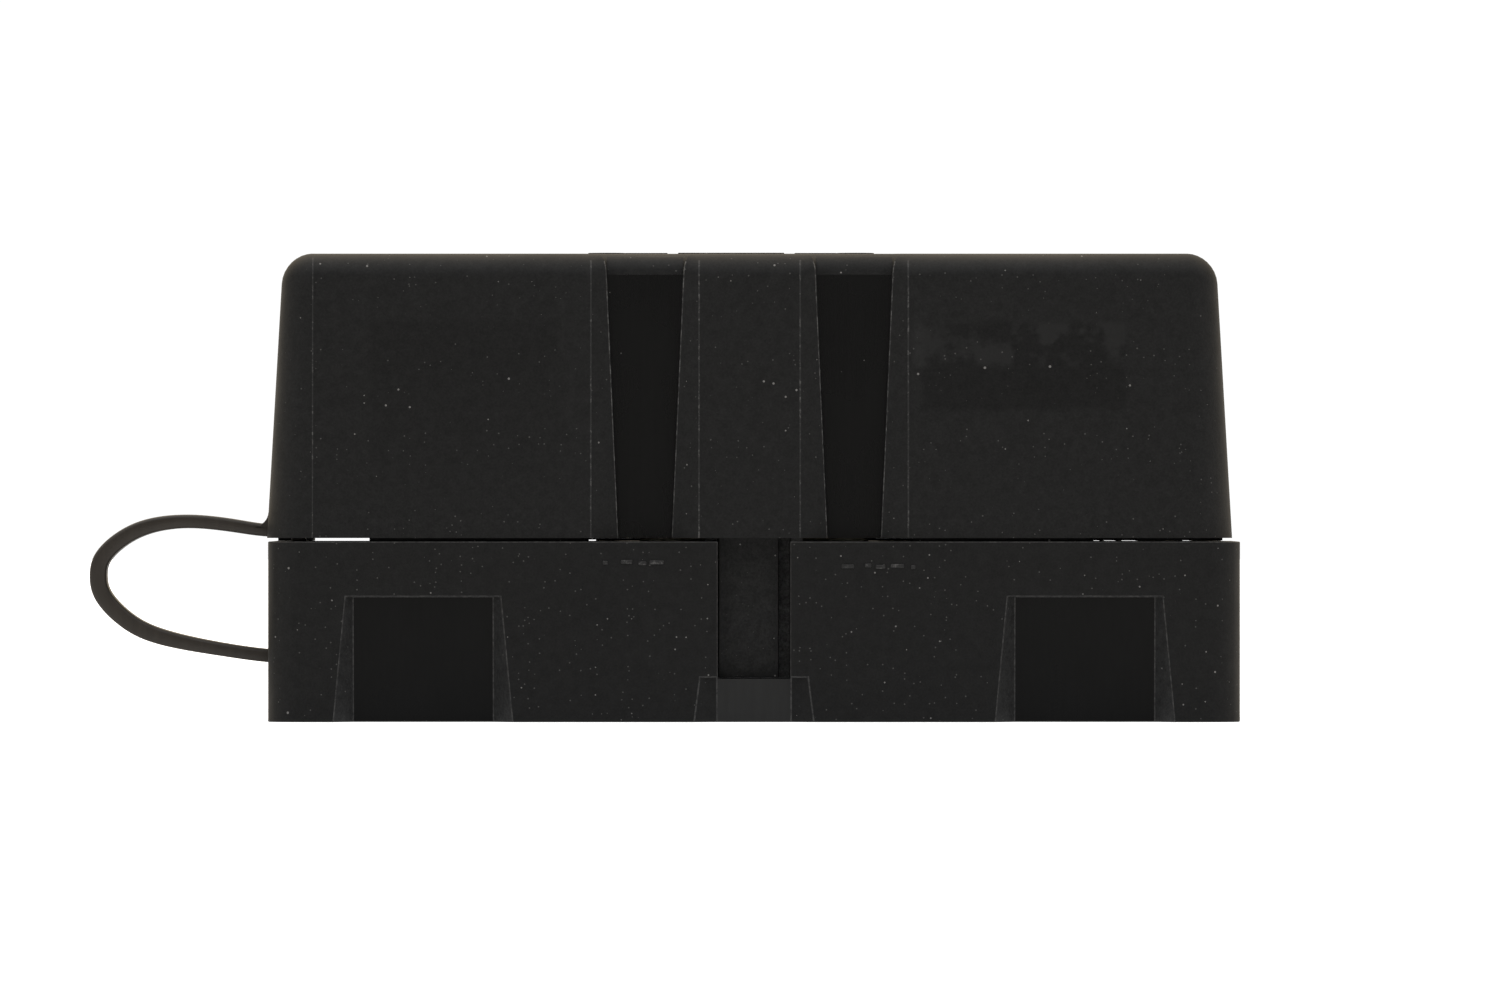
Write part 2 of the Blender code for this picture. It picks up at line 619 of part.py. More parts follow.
def make_stack(end_name, end):
    at = (end * STUD_X, 0.0)
    bore = STUD_HOLE / 2
    turned(
        f"flat_washer_{end_name}",
        ring_profile(WASHER_DIAMETER / 2, bore, WASHER_FOOT, WASHER_FOOT + WASHER_THICK, TOUCH), at, ZINC_STEEL)
    spring = turned(
        f"spring_washer_{end_name}",
        ring_profile(SPRING_DIAMETER / 2, bore, SPRING_FOOT, SPRING_FOOT + SPRING_THICK, TOUCH), at, ZINC_STEEL)
    cut(spring, box(
        (at[0] - SPRING_SPLIT / 2, -SPRING_DIAMETER, SPRING_FOOT - OVER),
        (at[0] + SPRING_SPLIT / 2, 0.0, NUT_FOOT + OVER)))
    make_nut(f"nut_{end_name}", at)


def make_mount_bushes():
    for end_name, place in mount_places().items():
        profile = ring_profile(BUSH_DIAMETER / 2, BUSH_BORE / 2, 0.0, DECK_TOP + BOSS_RISE, TOUCH)
        turned(f"mount_bush_{end_name}", profile, place, ZINC_STEEL)


# ---------------------------------------------------------------- cover

def cover_half(height, inset=0.0):
    """Half the cover's length and width at a height, drafted from the rim to the top."""
    share = (height - COVER_RIM) / COVER_HEIGHT
    return (
        COVER_LENGTH / 2 - COVER_END_DRAFT * share - inset,
        COVER_WIDTH / 2 - COVER_SIDE_DRAFT * share - inset)


def cover_solid(foot, top, inset):
    def place(sx, sy, sz):
        height = top if sz > 0 else foot
        half_length, half_width = cover_half(height, inset)
        return Vector((COVER_SHIFT + sx * half_length, sy * half_width, height))

    shape = round_edges(eight_corners(place), upright, COVER_CORNER - 0.6 * inset, 5)
    rim = lambda edge: all(vertex.co.z > top - TOUCH for vertex in edge.verts)
    return round_edges(shape, rim, COVER_TOP_EDGE - inset if inset < COVER_TOP_EDGE else TOUCH, 4)


def channel_half(height):
    """Half the width of a channel's floor: it narrows towards the rim."""
    share = (height - COVER_RIM) / COVER_HEIGHT
    return (CHANNEL_FLOOR_RIM + (CHANNEL_FLOOR_TOP - CHANNEL_FLOOR_RIM) * share) / 2


def channel(centre, side):
    flare = (CHANNEL_MOUTH - CHANNEL_FLOOR_RIM) / 2 / CHANNEL_DEPTH

    def place(sx, sy, sz):
        outer = sy == side
        height = COVER_TOP + OVER if sz > 0 else COVER_RIM - OVER
        reach = BASE_FACE + OVER - CHANNEL_FACE
        half = channel_half(height) + (flare * reach if outer else 0.0)
        return Vector((centre + sx * half, side * (CHANNEL_FACE + (reach if outer else 0.0)), height))

    return eight_corners(place)


def channel_backing(centre, side):
    """The wall behind a channel, inside the cover."""
    def place(sx, sy, sz):
        height = COVER_TOP - COVER_WALL / 2 if sz > 0 else COVER_RIM
        outer = cover_half(height)[1] - COVER_WALL / 2
        depth = outer if sy == side else CHANNEL_FACE - CHANNEL_BACKING
        return Vector((centre + sx * CHANNEL_BACKING_WIDTH / 2, side * depth, height))

    return eight_corners(place)


def locating_lip(end, side):
    """A rib inside the rim that drops into the base; its outer face leans away as a lead-in."""
    foot, top = COVER_RIM - LIP_REACH, COVER_RIM + 2 * LIP_REACH
    outer_foot = BASE_FACE - BASE_WALL - TOUCH - STEP
    near, far = sorted((COVER_SHIFT + end * LIP_START, COVER_SHIFT + end * LIP_END))

    def place(sx, sy, sz):
        height = top if sz > 0 else foot
        depth = outer_foot + LIP_LEAN * (height - foot) if sy == side else outer_foot - LIP_THICK
        return Vector((far if sx > 0 else near, side * depth, height))

    return eight_corners(place)


def make_cover():
    cover = part("cover_shell", cover_solid(COVER_RIM, COVER_TOP, 0.0), COVER_NYLON)
    cut(cover, cover_solid(COVER_RIM - OVER, COVER_TOP - COVER_WALL, COVER_WALL))
    centres = [COVER_SHIFT + sx * CHANNEL_PITCH / 2 for sx in (-1, 1)]
    for side in SIDES.values():
        for centre in centres:
            join(cover, channel_backing(centre, side))
        low, high = span(side, TONGUE_BACK + TOUCH, cover_half(TONGUE_ROOT)[1] - COVER_WALL / 2)
        half = TONGUE_WIDTH / 2
        join(cover, box(
            (COVER_SHIFT - half, low, TONGUE_ROOT + TOUCH),
            (COVER_SHIFT + half, high, TONGUE_ROOT + TONGUE_WIDTH)))
        for end in ENDS.values():
            join(cover, locating_lip(end, side))
    for side in SIDES.values():
        for centre in centres:
            cut(cover, channel(centre, side))
    reach = COVER_LENGTH
    arch = box((-reach, -ARCH_WIDTH / 2, COVER_RIM - OVER), (reach, ARCH_WIDTH / 2, COVER_RIM + ARCH_HEIGHT))
    crown = lambda edge: along_x(edge) and all(vertex.co.z > COVER_RIM for vertex in edge.verts)
    cut(cover, round_edges(arch, crown, ARCH_WIDTH / 2 - TOUCH, 8))
    notch_half = STRAP_WIDTH / 2 + SLIDE
    cut(cover, box(
        (-reach, STRAP_Y - notch_half, COVER_RIM - OVER),
        (-COVER_LENGTH / 2 + 2 * COVER_WALL, STRAP_Y + notch_half, STRAP_TOP + STRAP_THICK / 2 + SLIDE)))


def make_tongue(side_name, side):
    """A latch arm that hangs from the cover, with a barb that sits under the catch bar."""
    half = TONGUE_WIDTH / 2
    low, high = span(side, TONGUE_BACK, TONGUE_FACE)
    shape = box((COVER_SHIFT - half, low, TONGUE_FOOT), (COVER_SHIFT + half, high, TONGUE_ROOT))
    tongue = part(f"latch_tongue_{side_name}", shape, COVER_NYLON)

    def barb(sx, sy, sz):
        outer = sy == side
        foot = TONGUE_FOOT if not outer else TONGUE_FOOT + BARB_HEIGHT * 0.4
        height = TONGUE_FOOT + BARB_HEIGHT if sz > 0 else foot
        reach = TONGUE_FACE + BARB_REACH - TOUCH if outer else TONGUE_FACE - TONGUE_THICK / 2
        return Vector((COVER_SHIFT + sx * half, side * reach, height))

    join(tongue, eight_corners(barb))


# ---------------------------------------------------------------- strap

def smooth_route(points, steps):
    """Catmull-Rom points through the route, with the ends carried on straight."""
    ends = [2 * points[0] - points[1], *points, 2 * points[-1] - points[-2]]
    route = []
    for before, start, stop, after in zip(ends, ends[1:], ends[2:], ends[3:]):
        for step in range(steps):
            t = step / steps
            route.append(0.5 * (
                2 * start + (stop - before) * t + (2 * before - 5 * start + 4 * stop - after) * t**2
                + (3 * start - before - 3 * stop + after) * t**3))
    return [*route, points[-1]]


def band_outline(route, thickness):
    """Both edges of a band of even thickness, as one closed loop."""
    left, right = [], []
    for index, point in enumerate(route):
        along = route[min(index + 1, len(route) - 1)] - route[max(index - 1, 0)]
        across = Vector((-along.y, along.x)).normalized() * thickness / 2
        left.append(point + across)
        right.append(point - across)
    return [tuple(point) for point in left + right[::-1]]


def welded_mesh(curve_object):
    evaluated = curve_object.evaluated_get(bpy.context.evaluated_depsgraph_get())
    mesh = bpy.data.meshes.new_from_object(evaluated)
    shape = bmesh.new()
    shape.from_mesh(mesh)
    bmesh.ops.remove_doubles(shape, verts=shape.verts, dist=0.000001)
    bmesh.ops.recalc_face_normals(shape, faces=shape.faces)
    shape.to_mesh(mesh)
    shape.free()
    return mesh


def make_strap():
    """A flat band with a cross head inside each end wall, which keeps it in its slot."""
    base_inside = -BASE_LENGTH / 2 + BASE_WALL + TOUCH + STRAP_HEAD_THICK / 2
    cover_inside = COVER_SHIFT - COVER_LENGTH / 2 + COVER_WALL + TOUCH + STRAP_HEAD_THICK / 2
    points = [
        Vector((-BASE_LENGTH / 2 - out * MM, STRAP_FOOT + share * (STRAP_TOP - STRAP_FOOT)))
        for out, share in STRAP_ROUTE]
    first = Vector((base_inside, points[0].y))
    last = Vector((cover_inside, points[-1].y))
    outline = band_outline(smooth_route([first, *points, last], STRAP_STEPS), STRAP_THICK)
    band = flat_outline("tether_strap", [outline], 0.0, STRAP_WIDTH, STRAP_NYLON)
    band.matrix_world = Matrix.Translation((0.0, STRAP_Y, 0.0)) @ Matrix.Rotation(math.radians(90), 4, "X")
    bpy.context.view_layer.update()
    placed = band.matrix_world.copy()
    mesh = welded_mesh(band)
    bpy.data.objects.remove(band)
    mesh.transform(placed)
    mesh.materials.clear()
    mesh.materials.append(STRAP_NYLON)
    strap = new_object("tether_strap", mesh, PARTS)
    for x, middle in ((first.x, first.y), (last.x, last.y + STRAP_HEAD_HEIGHT / 2 - STRAP_THICK / 2)):
        join(strap, box(
            (x - STRAP_HEAD_THICK / 2, STRAP_Y - STRAP_HEAD_WIDTH / 2, middle - STRAP_HEAD_HEIGHT / 2),
            (x + STRAP_HEAD_THICK / 2, STRAP_Y + STRAP_HEAD_WIDTH / 2, middle + STRAP_HEAD_HEIGHT / 2)))


# ---------------------------------------------------------------- assembly

make_base()
make_bottom_plate()
make_plate_screws()
for end_name, end in ENDS.items():
    make_stud(end_name, end)
    make_terminal_plate(end_name, end)
    make_stack(end_name, end)
make_fuse()
make_mount_bushes()
make_cover()
for side_name, side in SIDES.items():
    make_tongue(side_name, side)
make_strap()
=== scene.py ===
"""Looks of the covered bolt-down fuse holder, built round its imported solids. Metres, +Z up, front at -Y."""

import json
import math

import bmesh
import bpy
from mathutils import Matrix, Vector

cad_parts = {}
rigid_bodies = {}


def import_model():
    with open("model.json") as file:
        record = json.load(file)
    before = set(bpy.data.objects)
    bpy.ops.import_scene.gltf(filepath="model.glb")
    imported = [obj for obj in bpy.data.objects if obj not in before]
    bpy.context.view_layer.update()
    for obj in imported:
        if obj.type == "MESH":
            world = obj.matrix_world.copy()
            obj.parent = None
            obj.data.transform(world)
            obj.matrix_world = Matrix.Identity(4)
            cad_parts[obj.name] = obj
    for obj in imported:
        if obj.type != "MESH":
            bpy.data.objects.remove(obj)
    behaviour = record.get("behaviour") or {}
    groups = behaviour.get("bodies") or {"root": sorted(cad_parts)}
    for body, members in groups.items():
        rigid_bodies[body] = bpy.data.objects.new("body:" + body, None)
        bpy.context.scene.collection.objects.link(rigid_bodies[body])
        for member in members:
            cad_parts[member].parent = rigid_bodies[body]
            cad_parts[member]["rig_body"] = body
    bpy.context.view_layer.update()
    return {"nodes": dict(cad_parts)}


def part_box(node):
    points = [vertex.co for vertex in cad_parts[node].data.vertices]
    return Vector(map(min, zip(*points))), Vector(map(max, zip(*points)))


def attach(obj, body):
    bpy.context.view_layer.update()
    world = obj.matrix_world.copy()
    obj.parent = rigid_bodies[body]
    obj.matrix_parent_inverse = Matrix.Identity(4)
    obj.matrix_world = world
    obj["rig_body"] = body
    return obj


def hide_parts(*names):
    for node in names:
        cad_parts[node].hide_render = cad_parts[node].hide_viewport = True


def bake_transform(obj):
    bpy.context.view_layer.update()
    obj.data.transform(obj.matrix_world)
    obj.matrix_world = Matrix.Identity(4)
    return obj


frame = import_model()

MM = 0.001
NODES = frame["nodes"]
BASE_LOW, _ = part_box("base_shell")
COVER_LOW, COVER_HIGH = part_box("cover_shell")
STRAP_LOW, STRAP_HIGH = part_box("tether_strap")


# ---------------------------------------------------------------- sizes

LIP_REACH = 1.6 * MM        # how far the locating lips hang below the rim
SEAT_DROP = 0.37 * MM       # pads along the rear edge, on which the cover sits
SEATS = (   # their ends, in millimetres along the cover
    (-54.0, -50.0), (-17.6, -12.0), (12.0, 18.6), (38.0, 39.4), (40.2, 40.6), (42.0, 42.6), (44.4, 49.6),
    (50.6, 54.0),
)
SEAT_NEAR, SEAT_FAR = 8 * MM, 19 * MM   # their ends across the cover
SEAT_ROOT = 1 * MM          # how far they run up into the rim
HAIRLINE_SEAT = (37.6, 54.2)   # a shallower pad between the right ones
HAIRLINE_SEAT_DROP = 0.33 * MM
COVER_RIM = COVER_LOW.z + LIP_REACH
COVER_TOP = COVER_HIGH.z
COVER_MIDDLE = (COVER_LOW.x + COVER_HIGH.x) / 2
COVER_HALF_LENGTH = (COVER_HIGH.x - COVER_LOW.x) / 2
COVER_HALF_WIDTH = (COVER_HIGH.y - COVER_LOW.y) / 2
END_DRAFT = 1.85 * MM
SIDE_DRAFT = 2.0 * MM
WALL = 2.4 * MM
FRONT_ROUND = 2.75 * MM     # along the top of the long faces
END_ROUND = 3.4 * MM        # along the top of the end faces
CHANNEL_ROUND = 2.4 * MM
SHOULDER_ROUND = 2.1 * MM
LOBE_EDGE = 49.47 * MM      # where the long face turns into the corner
INNER_CORNER = 1.4 * MM
INNER_ROUND = 0.6 * MM
LOBE_LINE = 0.14 * MM       # the pale line along that edge, partly a rubbed witness line and partly a painted highlight
CENTRE_LOBE = 5.72 * MM     # half width
CHANNEL_MIDDLE = 11.83 * MM
CHANNEL_DEPTH = 3.35 * MM
SHOULDER_SHARE = 0.42       # of the channel's depth, where the lobe's shoulder ends in a sharp edge
SHOULDER_UNDERCUT = 0.12 * MM
SHOULDER_ARC = 1.0 * MM     # how far the sharp edge curves away at the top
CHANNEL_WALL = 2.2 * MM
WALL_CORNER = 0.495         # how far a wall's inner corners step aside, as a share of the wall
CHANNEL_FLOOR_RIM = 3.02 * MM   # half widths
CHANNEL_FLOOR_TOP = 4.45 * MM
TONGUE_HALF = 3.3 * MM
TONGUE_LEFT_EXTRA = 0.22 * MM   # the arms reach nearer to the slot's left side
TONGUE_ROOT_GAP = 0.16 * MM     # so that a pressed arm clears its root block
ARCH_HALF = 7 * MM          # the cable mouths in the end walls
ARCH_HEIGHT = 15.2 * MM
LIP_NEAR, LIP_FAR = 18.9 * MM, 20.1 * MM    # the locating lips, across the cover
LIPS = ((-43.0, -18.5), (18.5, 38.5))       # and along it, in millimetres
STRAP_Y = (STRAP_LOW.y + STRAP_HIGH.y) / 2
STRAP_WIDTH = 6.5 * MM
STRAP_FOOT, STRAP_TOP = 7.4 * MM, 21.6 * MM     # where its two ends enter the box
STRAP_STEPS = 8
SMOOTHING_PASSES = 14
STRAP_ROUTE = [   # millimetres out from the base's end wall, height and thickness
    (-3.6, 7.4, 1.45), (0.0, 7.4, 1.5), (5.6, 8.2, 1.5), (11.1, 9.25, 1.75), (15.3, 10.75, 1.9),
    (18.75, 13.9, 1.95), (19.4, 16.5, 1.9), (18.75, 19.0, 1.85), (15.0, 21.8, 1.75), (9.85, 22.75, 1.55),
    (4.6, 22.3, 1.5), (0.6, 21.65, 1.42), (-3.6, 21.6, 1.4),
]


# ---------------------------------------------------------------- camera, light and floor

def look_from_the_front():
    """A long lens, level with the middle of the object and square to its front."""
    distance = 2200 * MM
    shown_width = 168.65 * MM
    data = bpy.data.cameras.new("camera")
    data.sensor_width = 36.0
    data.lens = data.sensor_width * distance / shown_width
    data.clip_start = 0.01
    data.clip_end = 20.0
    camera = bpy.data.objects.new("camera", data)
    bpy.context.scene.collection.objects.link(camera)
    camera.location = (-0.85 * MM, BASE_LOW.y - distance, 25.1 * MM)
    camera.rotation_euler = (math.radians(90), 0.0, 0.0)
    bpy.context.scene.camera = camera


def node(tree, kind, inputs=None, **settings):
    made = tree.nodes.new(kind)
    for key, value in settings.items():
        setattr(made, key, value)
    for key, value in (inputs or {}).items():
        if isinstance(value, bpy.types.NodeSocket):
            tree.links.new(value, made.inputs[key])
        else:
            made.inputs[key].default_value = value
    return made


def calc(tree, operation, first, second=0.0, third=None):
    inputs = {0: first, 1: second}
    if third is not None:
        inputs[2] = third
    return node(tree, "ShaderNodeMath", inputs, operation=operation).outputs[0]


def ramp(tree, value, low, high, out_low=0.0, out_high=1.0, smooth=False):
    return node(tree, "ShaderNodeMapRange", {
        "Value": value, "From Min": low, "From Max": high, "To Min": out_low, "To Max": out_high,
    }, interpolation_type="SMOOTHSTEP" if smooth else "LINEAR").outputs["Result"]


def light_the_room():
    """A bright room behind and above, dimmer in front, with plain white seen directly."""
    world = bpy.data.worlds.new("studio")
    bpy.context.scene.world = world
    world.use_nodes = True
    tree = world.node_tree
    tree.nodes.clear()
    way = node(tree, "ShaderNodeTexCoord").outputs["Generated"]
    split = node(tree, "ShaderNodeSeparateXYZ", {0: way})
    forward, upward = split.outputs["Y"], split.outputs["Z"]
    sides = ramp(tree, forward, -0.97, -0.45, 0.075, 0.40, smooth=True)
    behind = ramp(tree, forward, 0.0, 0.9, 0.0, 0.70, smooth=True)
    above = ramp(tree, upward, 0.30, 0.95, 0.0, 0.95, smooth=True)
    strength = calc(tree, "ADD", calc(tree, "ADD", sides, behind), above)
    seen = node(tree, "ShaderNodeLightPath").outputs["Is Camera Ray"]
    brightness = node(tree, "ShaderNodeMix", {0: seen, 2: strength, 3: 1.05}, data_type="FLOAT").outputs[0]
    warmth = blend_colour(tree, ramp(tree, forward, -0.2, 0.5), (1.0, 1.0, 1.0, 1.0), (1.0, 0.86, 0.66, 1.0))
    tint = blend_colour(tree, seen, warmth, (1.0, 1.0, 1.0, 1.0))
    glow = node(tree, "ShaderNodeBackground", {"Color": tint, "Strength": brightness})
    out = node(tree, "ShaderNodeOutputWorld")
    tree.links.new(glow.outputs[0], out.inputs["Surface"])

    data = bpy.data.lights.new("overhead_softbox", "AREA")
    data.shape = "RECTANGLE"
    data.size = 0.5
    data.size_y = 0.35
    data.energy = 0.26
    lamp = bpy.data.objects.new("overhead_softbox", data)
    bpy.context.scene.collection.objects.link(lamp)
    lamp.location = (-0.12, 0.25, 0.7)
    lamp.rotation_euler = (Vector((0.0, 0.0, 0.03)) - lamp.location).to_track_quat("-Z", "Y").to_euler()


def lay_the_floor():
    material = bpy.data.materials.new("pale_floor")
    material.use_nodes = True
    tree = material.node_tree
    tree.nodes.clear()
    matt = node(tree, "ShaderNodeBsdfDiffuse", {"Color": (0.4, 0.4, 0.4, 1.0)})
    white = node(tree, "ShaderNodeBsdfDiffuse", {"Color": (0.9, 0.9, 0.9, 1.0)})
    lift = node(tree, "ShaderNodeEmission", {"Color": (1.0, 1.0, 1.0, 1.0), "Strength": 0.95})
    glow = node(tree, "ShaderNodeEmission", {"Color": (1.0, 1.0, 1.0, 1.0), "Strength": 0.42})
    shown = node(tree, "ShaderNodeAddShader", {0: white.outputs[0], 1: lift.outputs[0]})
    unseen = node(tree, "ShaderNodeAddShader", {0: matt.outputs[0], 1: glow.outputs[0]})
    seen = node(tree, "ShaderNodeLightPath").outputs["Is Camera Ray"]
    mix = node(tree, "ShaderNodeMixShader", {0: seen, 1: unseen.outputs[0], 2: shown.outputs[0]})
    out = node(tree, "ShaderNodeOutputMaterial")
    tree.links.new(mix.outputs[0], out.inputs["Surface"])

    shape = bmesh.new()
    bmesh.ops.create_grid(shape, x_segments=1, y_segments=1, size=6.0)
    mesh = bpy.data.meshes.new("floor")
    shape.to_mesh(mesh)
    shape.free()
    mesh.materials.append(material)
    floor = bpy.data.objects.new("floor", mesh)
    bpy.context.scene.collection.objects.link(floor)
    floor.location.z = -0.05 * MM


# ---------------------------------------------------------------- finishes

NYLON_SPECULAR = 0.30


def start_finish(name, roughness, metallic=0.0):
    """A Principled material, with the surface's own coordinates in millimetres."""
    material = bpy.data.materials.new(name)
    material.use_nodes = True
    tree = material.node_tree
    shader = tree.nodes["Principled BSDF"]
    shader.inputs["Roughness"].default_value = roughness
    shader.inputs["Metallic"].default_value = metallic
    where = node(tree, "ShaderNodeTexCoord").outputs["Object"]
    spot = node(tree, "ShaderNodeMapping", {"Vector": where, "Scale": (1000.0, 1000.0, 1000.0)})
    return material, tree, shader, spot.outputs[0]


def noise(tree, spot, scale, detail=2.0, roughness=0.5):
    return node(tree, "ShaderNodeTexNoise", {
        "Vector": spot, "Scale": scale, "Detail": detail, "Roughness": roughness}).outputs["Fac"]


def blend_colour(tree, factor, first, second):
    mix = node(tree, "ShaderNodeMix", data_type="RGBA")
    for socket, value in ((mix.inputs[0], factor), (mix.inputs[6], first), (mix.inputs[7], second)):
        if isinstance(value, bpy.types.NodeSocket):
            tree.links.new(value, socket)
        else:
            socket.default_value = value
    return mix.outputs[2]


def grey(value, warm=0.0):
    return (value * (1 + warm), value, value * (1 - warm), 1.0)


def dust(tree, spot, cells, share, size):
    """A mask of small bright specks: one cell in so many holds a speck."""
    cell = node(tree, "ShaderNodeTexVoronoi", {"Vector": spot, "Scale": cells, "Randomness": 1.0})
    pick = node(tree, "ShaderNodeSeparateColor", {0: cell.outputs["Color"]})
    chosen = calc(tree, "GREATER_THAN", pick.outputs[0], 1 - share)
    reach = calc(tree, "MULTIPLY", pick.outputs[1], size)
    near = calc(tree, "LESS_THAN", cell.outputs["Distance"], reach)
    return calc(tree, "MULTIPLY", chosen, near)


def bump(tree, shader, height, strength, distance):
    made = node(tree, "ShaderNodeBump", {"Height": height, "Strength": strength, "Distance": distance})
    tree.links.new(made.outputs[0], shader.inputs["Normal"])


def patch(tree, spot, left, right, foot, top):
    """A soft-edged rectangle on the front face, in millimetres."""
    place = node(tree, "ShaderNodeSeparateXYZ", {0: spot})
    mask = calc(tree, "LESS_THAN", place.outputs["Y"], 0.0)
    for value, low, high in ((place.outputs["X"], left, right), (place.outputs["Z"], foot, top)):
        mask = calc(tree, "MULTIPLY", mask, ramp(tree, value, low - 0.4, low + 0.4))
        mask = calc(tree, "MULTIPLY", mask, ramp(tree, value, high - 0.4, high + 0.4, 1.0, 0.0))
    return mask


def spark_eroded(name, shade, roughness=0.56, handled=False):
    """Black nylon moulded in a spark-eroded tool: fine grain, faint clouds and a little dust.

    A handled one also has a faint dull patch on each long lobe, the right one partly rubbed pale."""
    material, tree, shader, spot = start_finish(name, roughness)
    shader.inputs["Specular IOR Level"].default_value = NYLON_SPECULAR
    grain = noise(tree, spot, 4.0, 3.0, 0.75)
    mottle = noise(tree, spot, 0.9, 3.0, 0.7)
    cloud = noise(tree, spot, 0.07, 3.0)
    uneven = calc(tree, "ADD", calc(tree, "MULTIPLY", grain, 0.6), calc(tree, "MULTIPLY", mottle, 0.4))
    tone = blend_colour(tree, ramp(tree, uneven, 0.38, 0.64), grey(shade * 0.55), grey(shade * 1.6))
    if handled:
        place = node(tree, "ShaderNodeSeparateXYZ", {0: spot})
        fading = ramp(tree, place.outputs["Z"], 24.0, 42.0, 0.0, 0.55)
        left = calc(tree, "MULTIPLY", patch(tree, spot, -43.5, -22.0, 20.0, 45.4), fading)
        stuck = calc(tree, "MAXIMUM", left, patch(tree, spot, 19.0, 42.2, 35.3, 45.2))
        tone = blend_colour(tree, calc(tree, "MULTIPLY", stuck, 0.25), tone, grey(0.0))
        sheen = ramp(tree, stuck, 0.0, 1.0, NYLON_SPECULAR, 0.26)
        tree.links.new(sheen, shader.inputs["Specular IOR Level"])
        rubbed = calc(tree, "MULTIPLY", ramp(tree, noise(tree, spot, 0.30, 4.0, 0.6), 0.44, 0.56), 0.55)
        rubbed = calc(tree, "MULTIPLY", patch(tree, spot, 18.0, 42.2, 40.2, 45.2), rubbed)
        tone = blend_colour(tree, rubbed, tone, grey(shade * 2.8))
    specks = dust(tree, spot, 0.8, 0.34, 0.12)
    fine = dust(tree, spot, 1.7, 0.42, 0.16)
    seen = calc(tree, "MAXIMUM", specks, calc(tree, "MULTIPLY", fine, 0.3))
    colour = blend_colour(tree, calc(tree, "MULTIPLY", seen, 0.7), tone, grey(0.32, 0.03))
    tree.links.new(colour, shader.inputs["Base Color"])
    worn = ramp(tree, cloud, 0.3, 0.7, roughness - 0.05, roughness + 0.06)
    tree.links.new(worn, shader.inputs["Roughness"])
    bump(tree, shader, uneven, 0.5, 0.06 * MM)
    return material


def polished_nylon(name, shade, roughness, specular=0.34, warm=0.0):
    """The same nylon where the tool was polished: satin, with drag lines along the draw."""
    material, tree, shader, spot = start_finish(name, roughness)
    shader.inputs["Specular IOR Level"].default_value = specular
    stretched = node(tree, "ShaderNodeMapping", {"Vector": spot, "Scale": (2.2, 2.2, 0.12)}).outputs[0]
    drag = noise(tree, stretched, 1.0, 3.0)
    cloud = noise(tree, spot, 0.12, 2.0)
    tone = blend_colour(tree, drag, grey(shade * 0.75, warm), grey(shade * 1.3, warm))
    specks = dust(tree, spot, 0.8, 0.07, 0.09)
    colour = blend_colour(tree, calc(tree, "MULTIPLY", specks, 0.5), tone, grey(0.2, 0.03))
    tree.links.new(colour, shader.inputs["Base Color"])
    worn = ramp(tree, cloud, 0.3, 0.7, roughness - 0.05, roughness + 0.07)
    tree.links.new(worn, shader.inputs["Roughness"])
    bump(tree, shader, drag, 0.12, 0.05 * MM)
    return material


def rubbed_and_highlit_line(name, shade, pale, first, full):
    """Sharp moulded edges with a broken pale line: partly rubbed wear, partly a painted highlight."""
    material, tree, shader, spot = start_finish(name, 0.5)
    broken = noise(tree, spot, 1.7, 4.0, 0.75)
    dots = ramp(tree, broken, first, full)
    tree.links.new(blend_colour(tree, dots, grey(shade), grey(pale, 0.02)), shader.inputs["Base Color"])
    bump(tree, shader, broken, 0.4, 0.05 * MM)
    return material


def metal(name, colour, roughness, scale=1.2, streak=(1.0, 1.0, 1.0)):
    material, tree, shader, spot = start_finish(name, roughness, 1.0)
    stretched = node(tree, "ShaderNodeMapping", {"Vector": spot, "Scale": streak}).outputs[0]
    wear = noise(tree, stretched, scale, 4.0, 0.6)
    cloud = noise(tree, spot, 0.25, 2.0)
    dark = tuple(channel * 0.72 for channel in colour) + (1.0,)
    tone = blend_colour(tree, ramp(tree, cloud, 0.3, 0.7), dark, (*colour, 1.0))
    tree.links.new(tone, shader.inputs["Base Color"])
    tree.links.new(ramp(tree, wear, 0.3, 0.7, roughness * 0.75, roughness * 1.3), shader.inputs["Roughness"])
    bump(tree, shader, wear, 0.15, 0.03 * MM)
    return material


def insulator(name, colour, roughness):
    material, tree, shader, spot = start_finish(name, roughness)
    grain = noise(tree, spot, 2.5, 3.0)
    cloud = noise(tree, spot, 0.2, 2.0)
    dark = tuple(channel * 0.85 for channel in colour) + (1.0,)
    tone = blend_colour(tree, ramp(tree, cloud, 0.3, 0.7), dark, (*colour, 1.0))
    tree.links.new(tone, shader.inputs["Base Color"])
    bump(tree, shader, grain, 0.2, 0.04 * MM)
    return material


def clear_plastic(name):
    material, tree, shader, spot = start_finish(name, 0.08)
    shader.inputs["Base Color"].default_value = (0.85, 0.88, 0.86, 1.0)
    shader.inputs["Transmission Weight"].default_value = 0.92
    shader.inputs["IOR"].default_value = 1.58
    scuff = noise(tree, spot, 1.5, 3.0)
    tree.links.new(ramp(tree, scuff, 0.4, 0.8, 0.05, 0.2), shader.inputs["Roughness"])
    return material


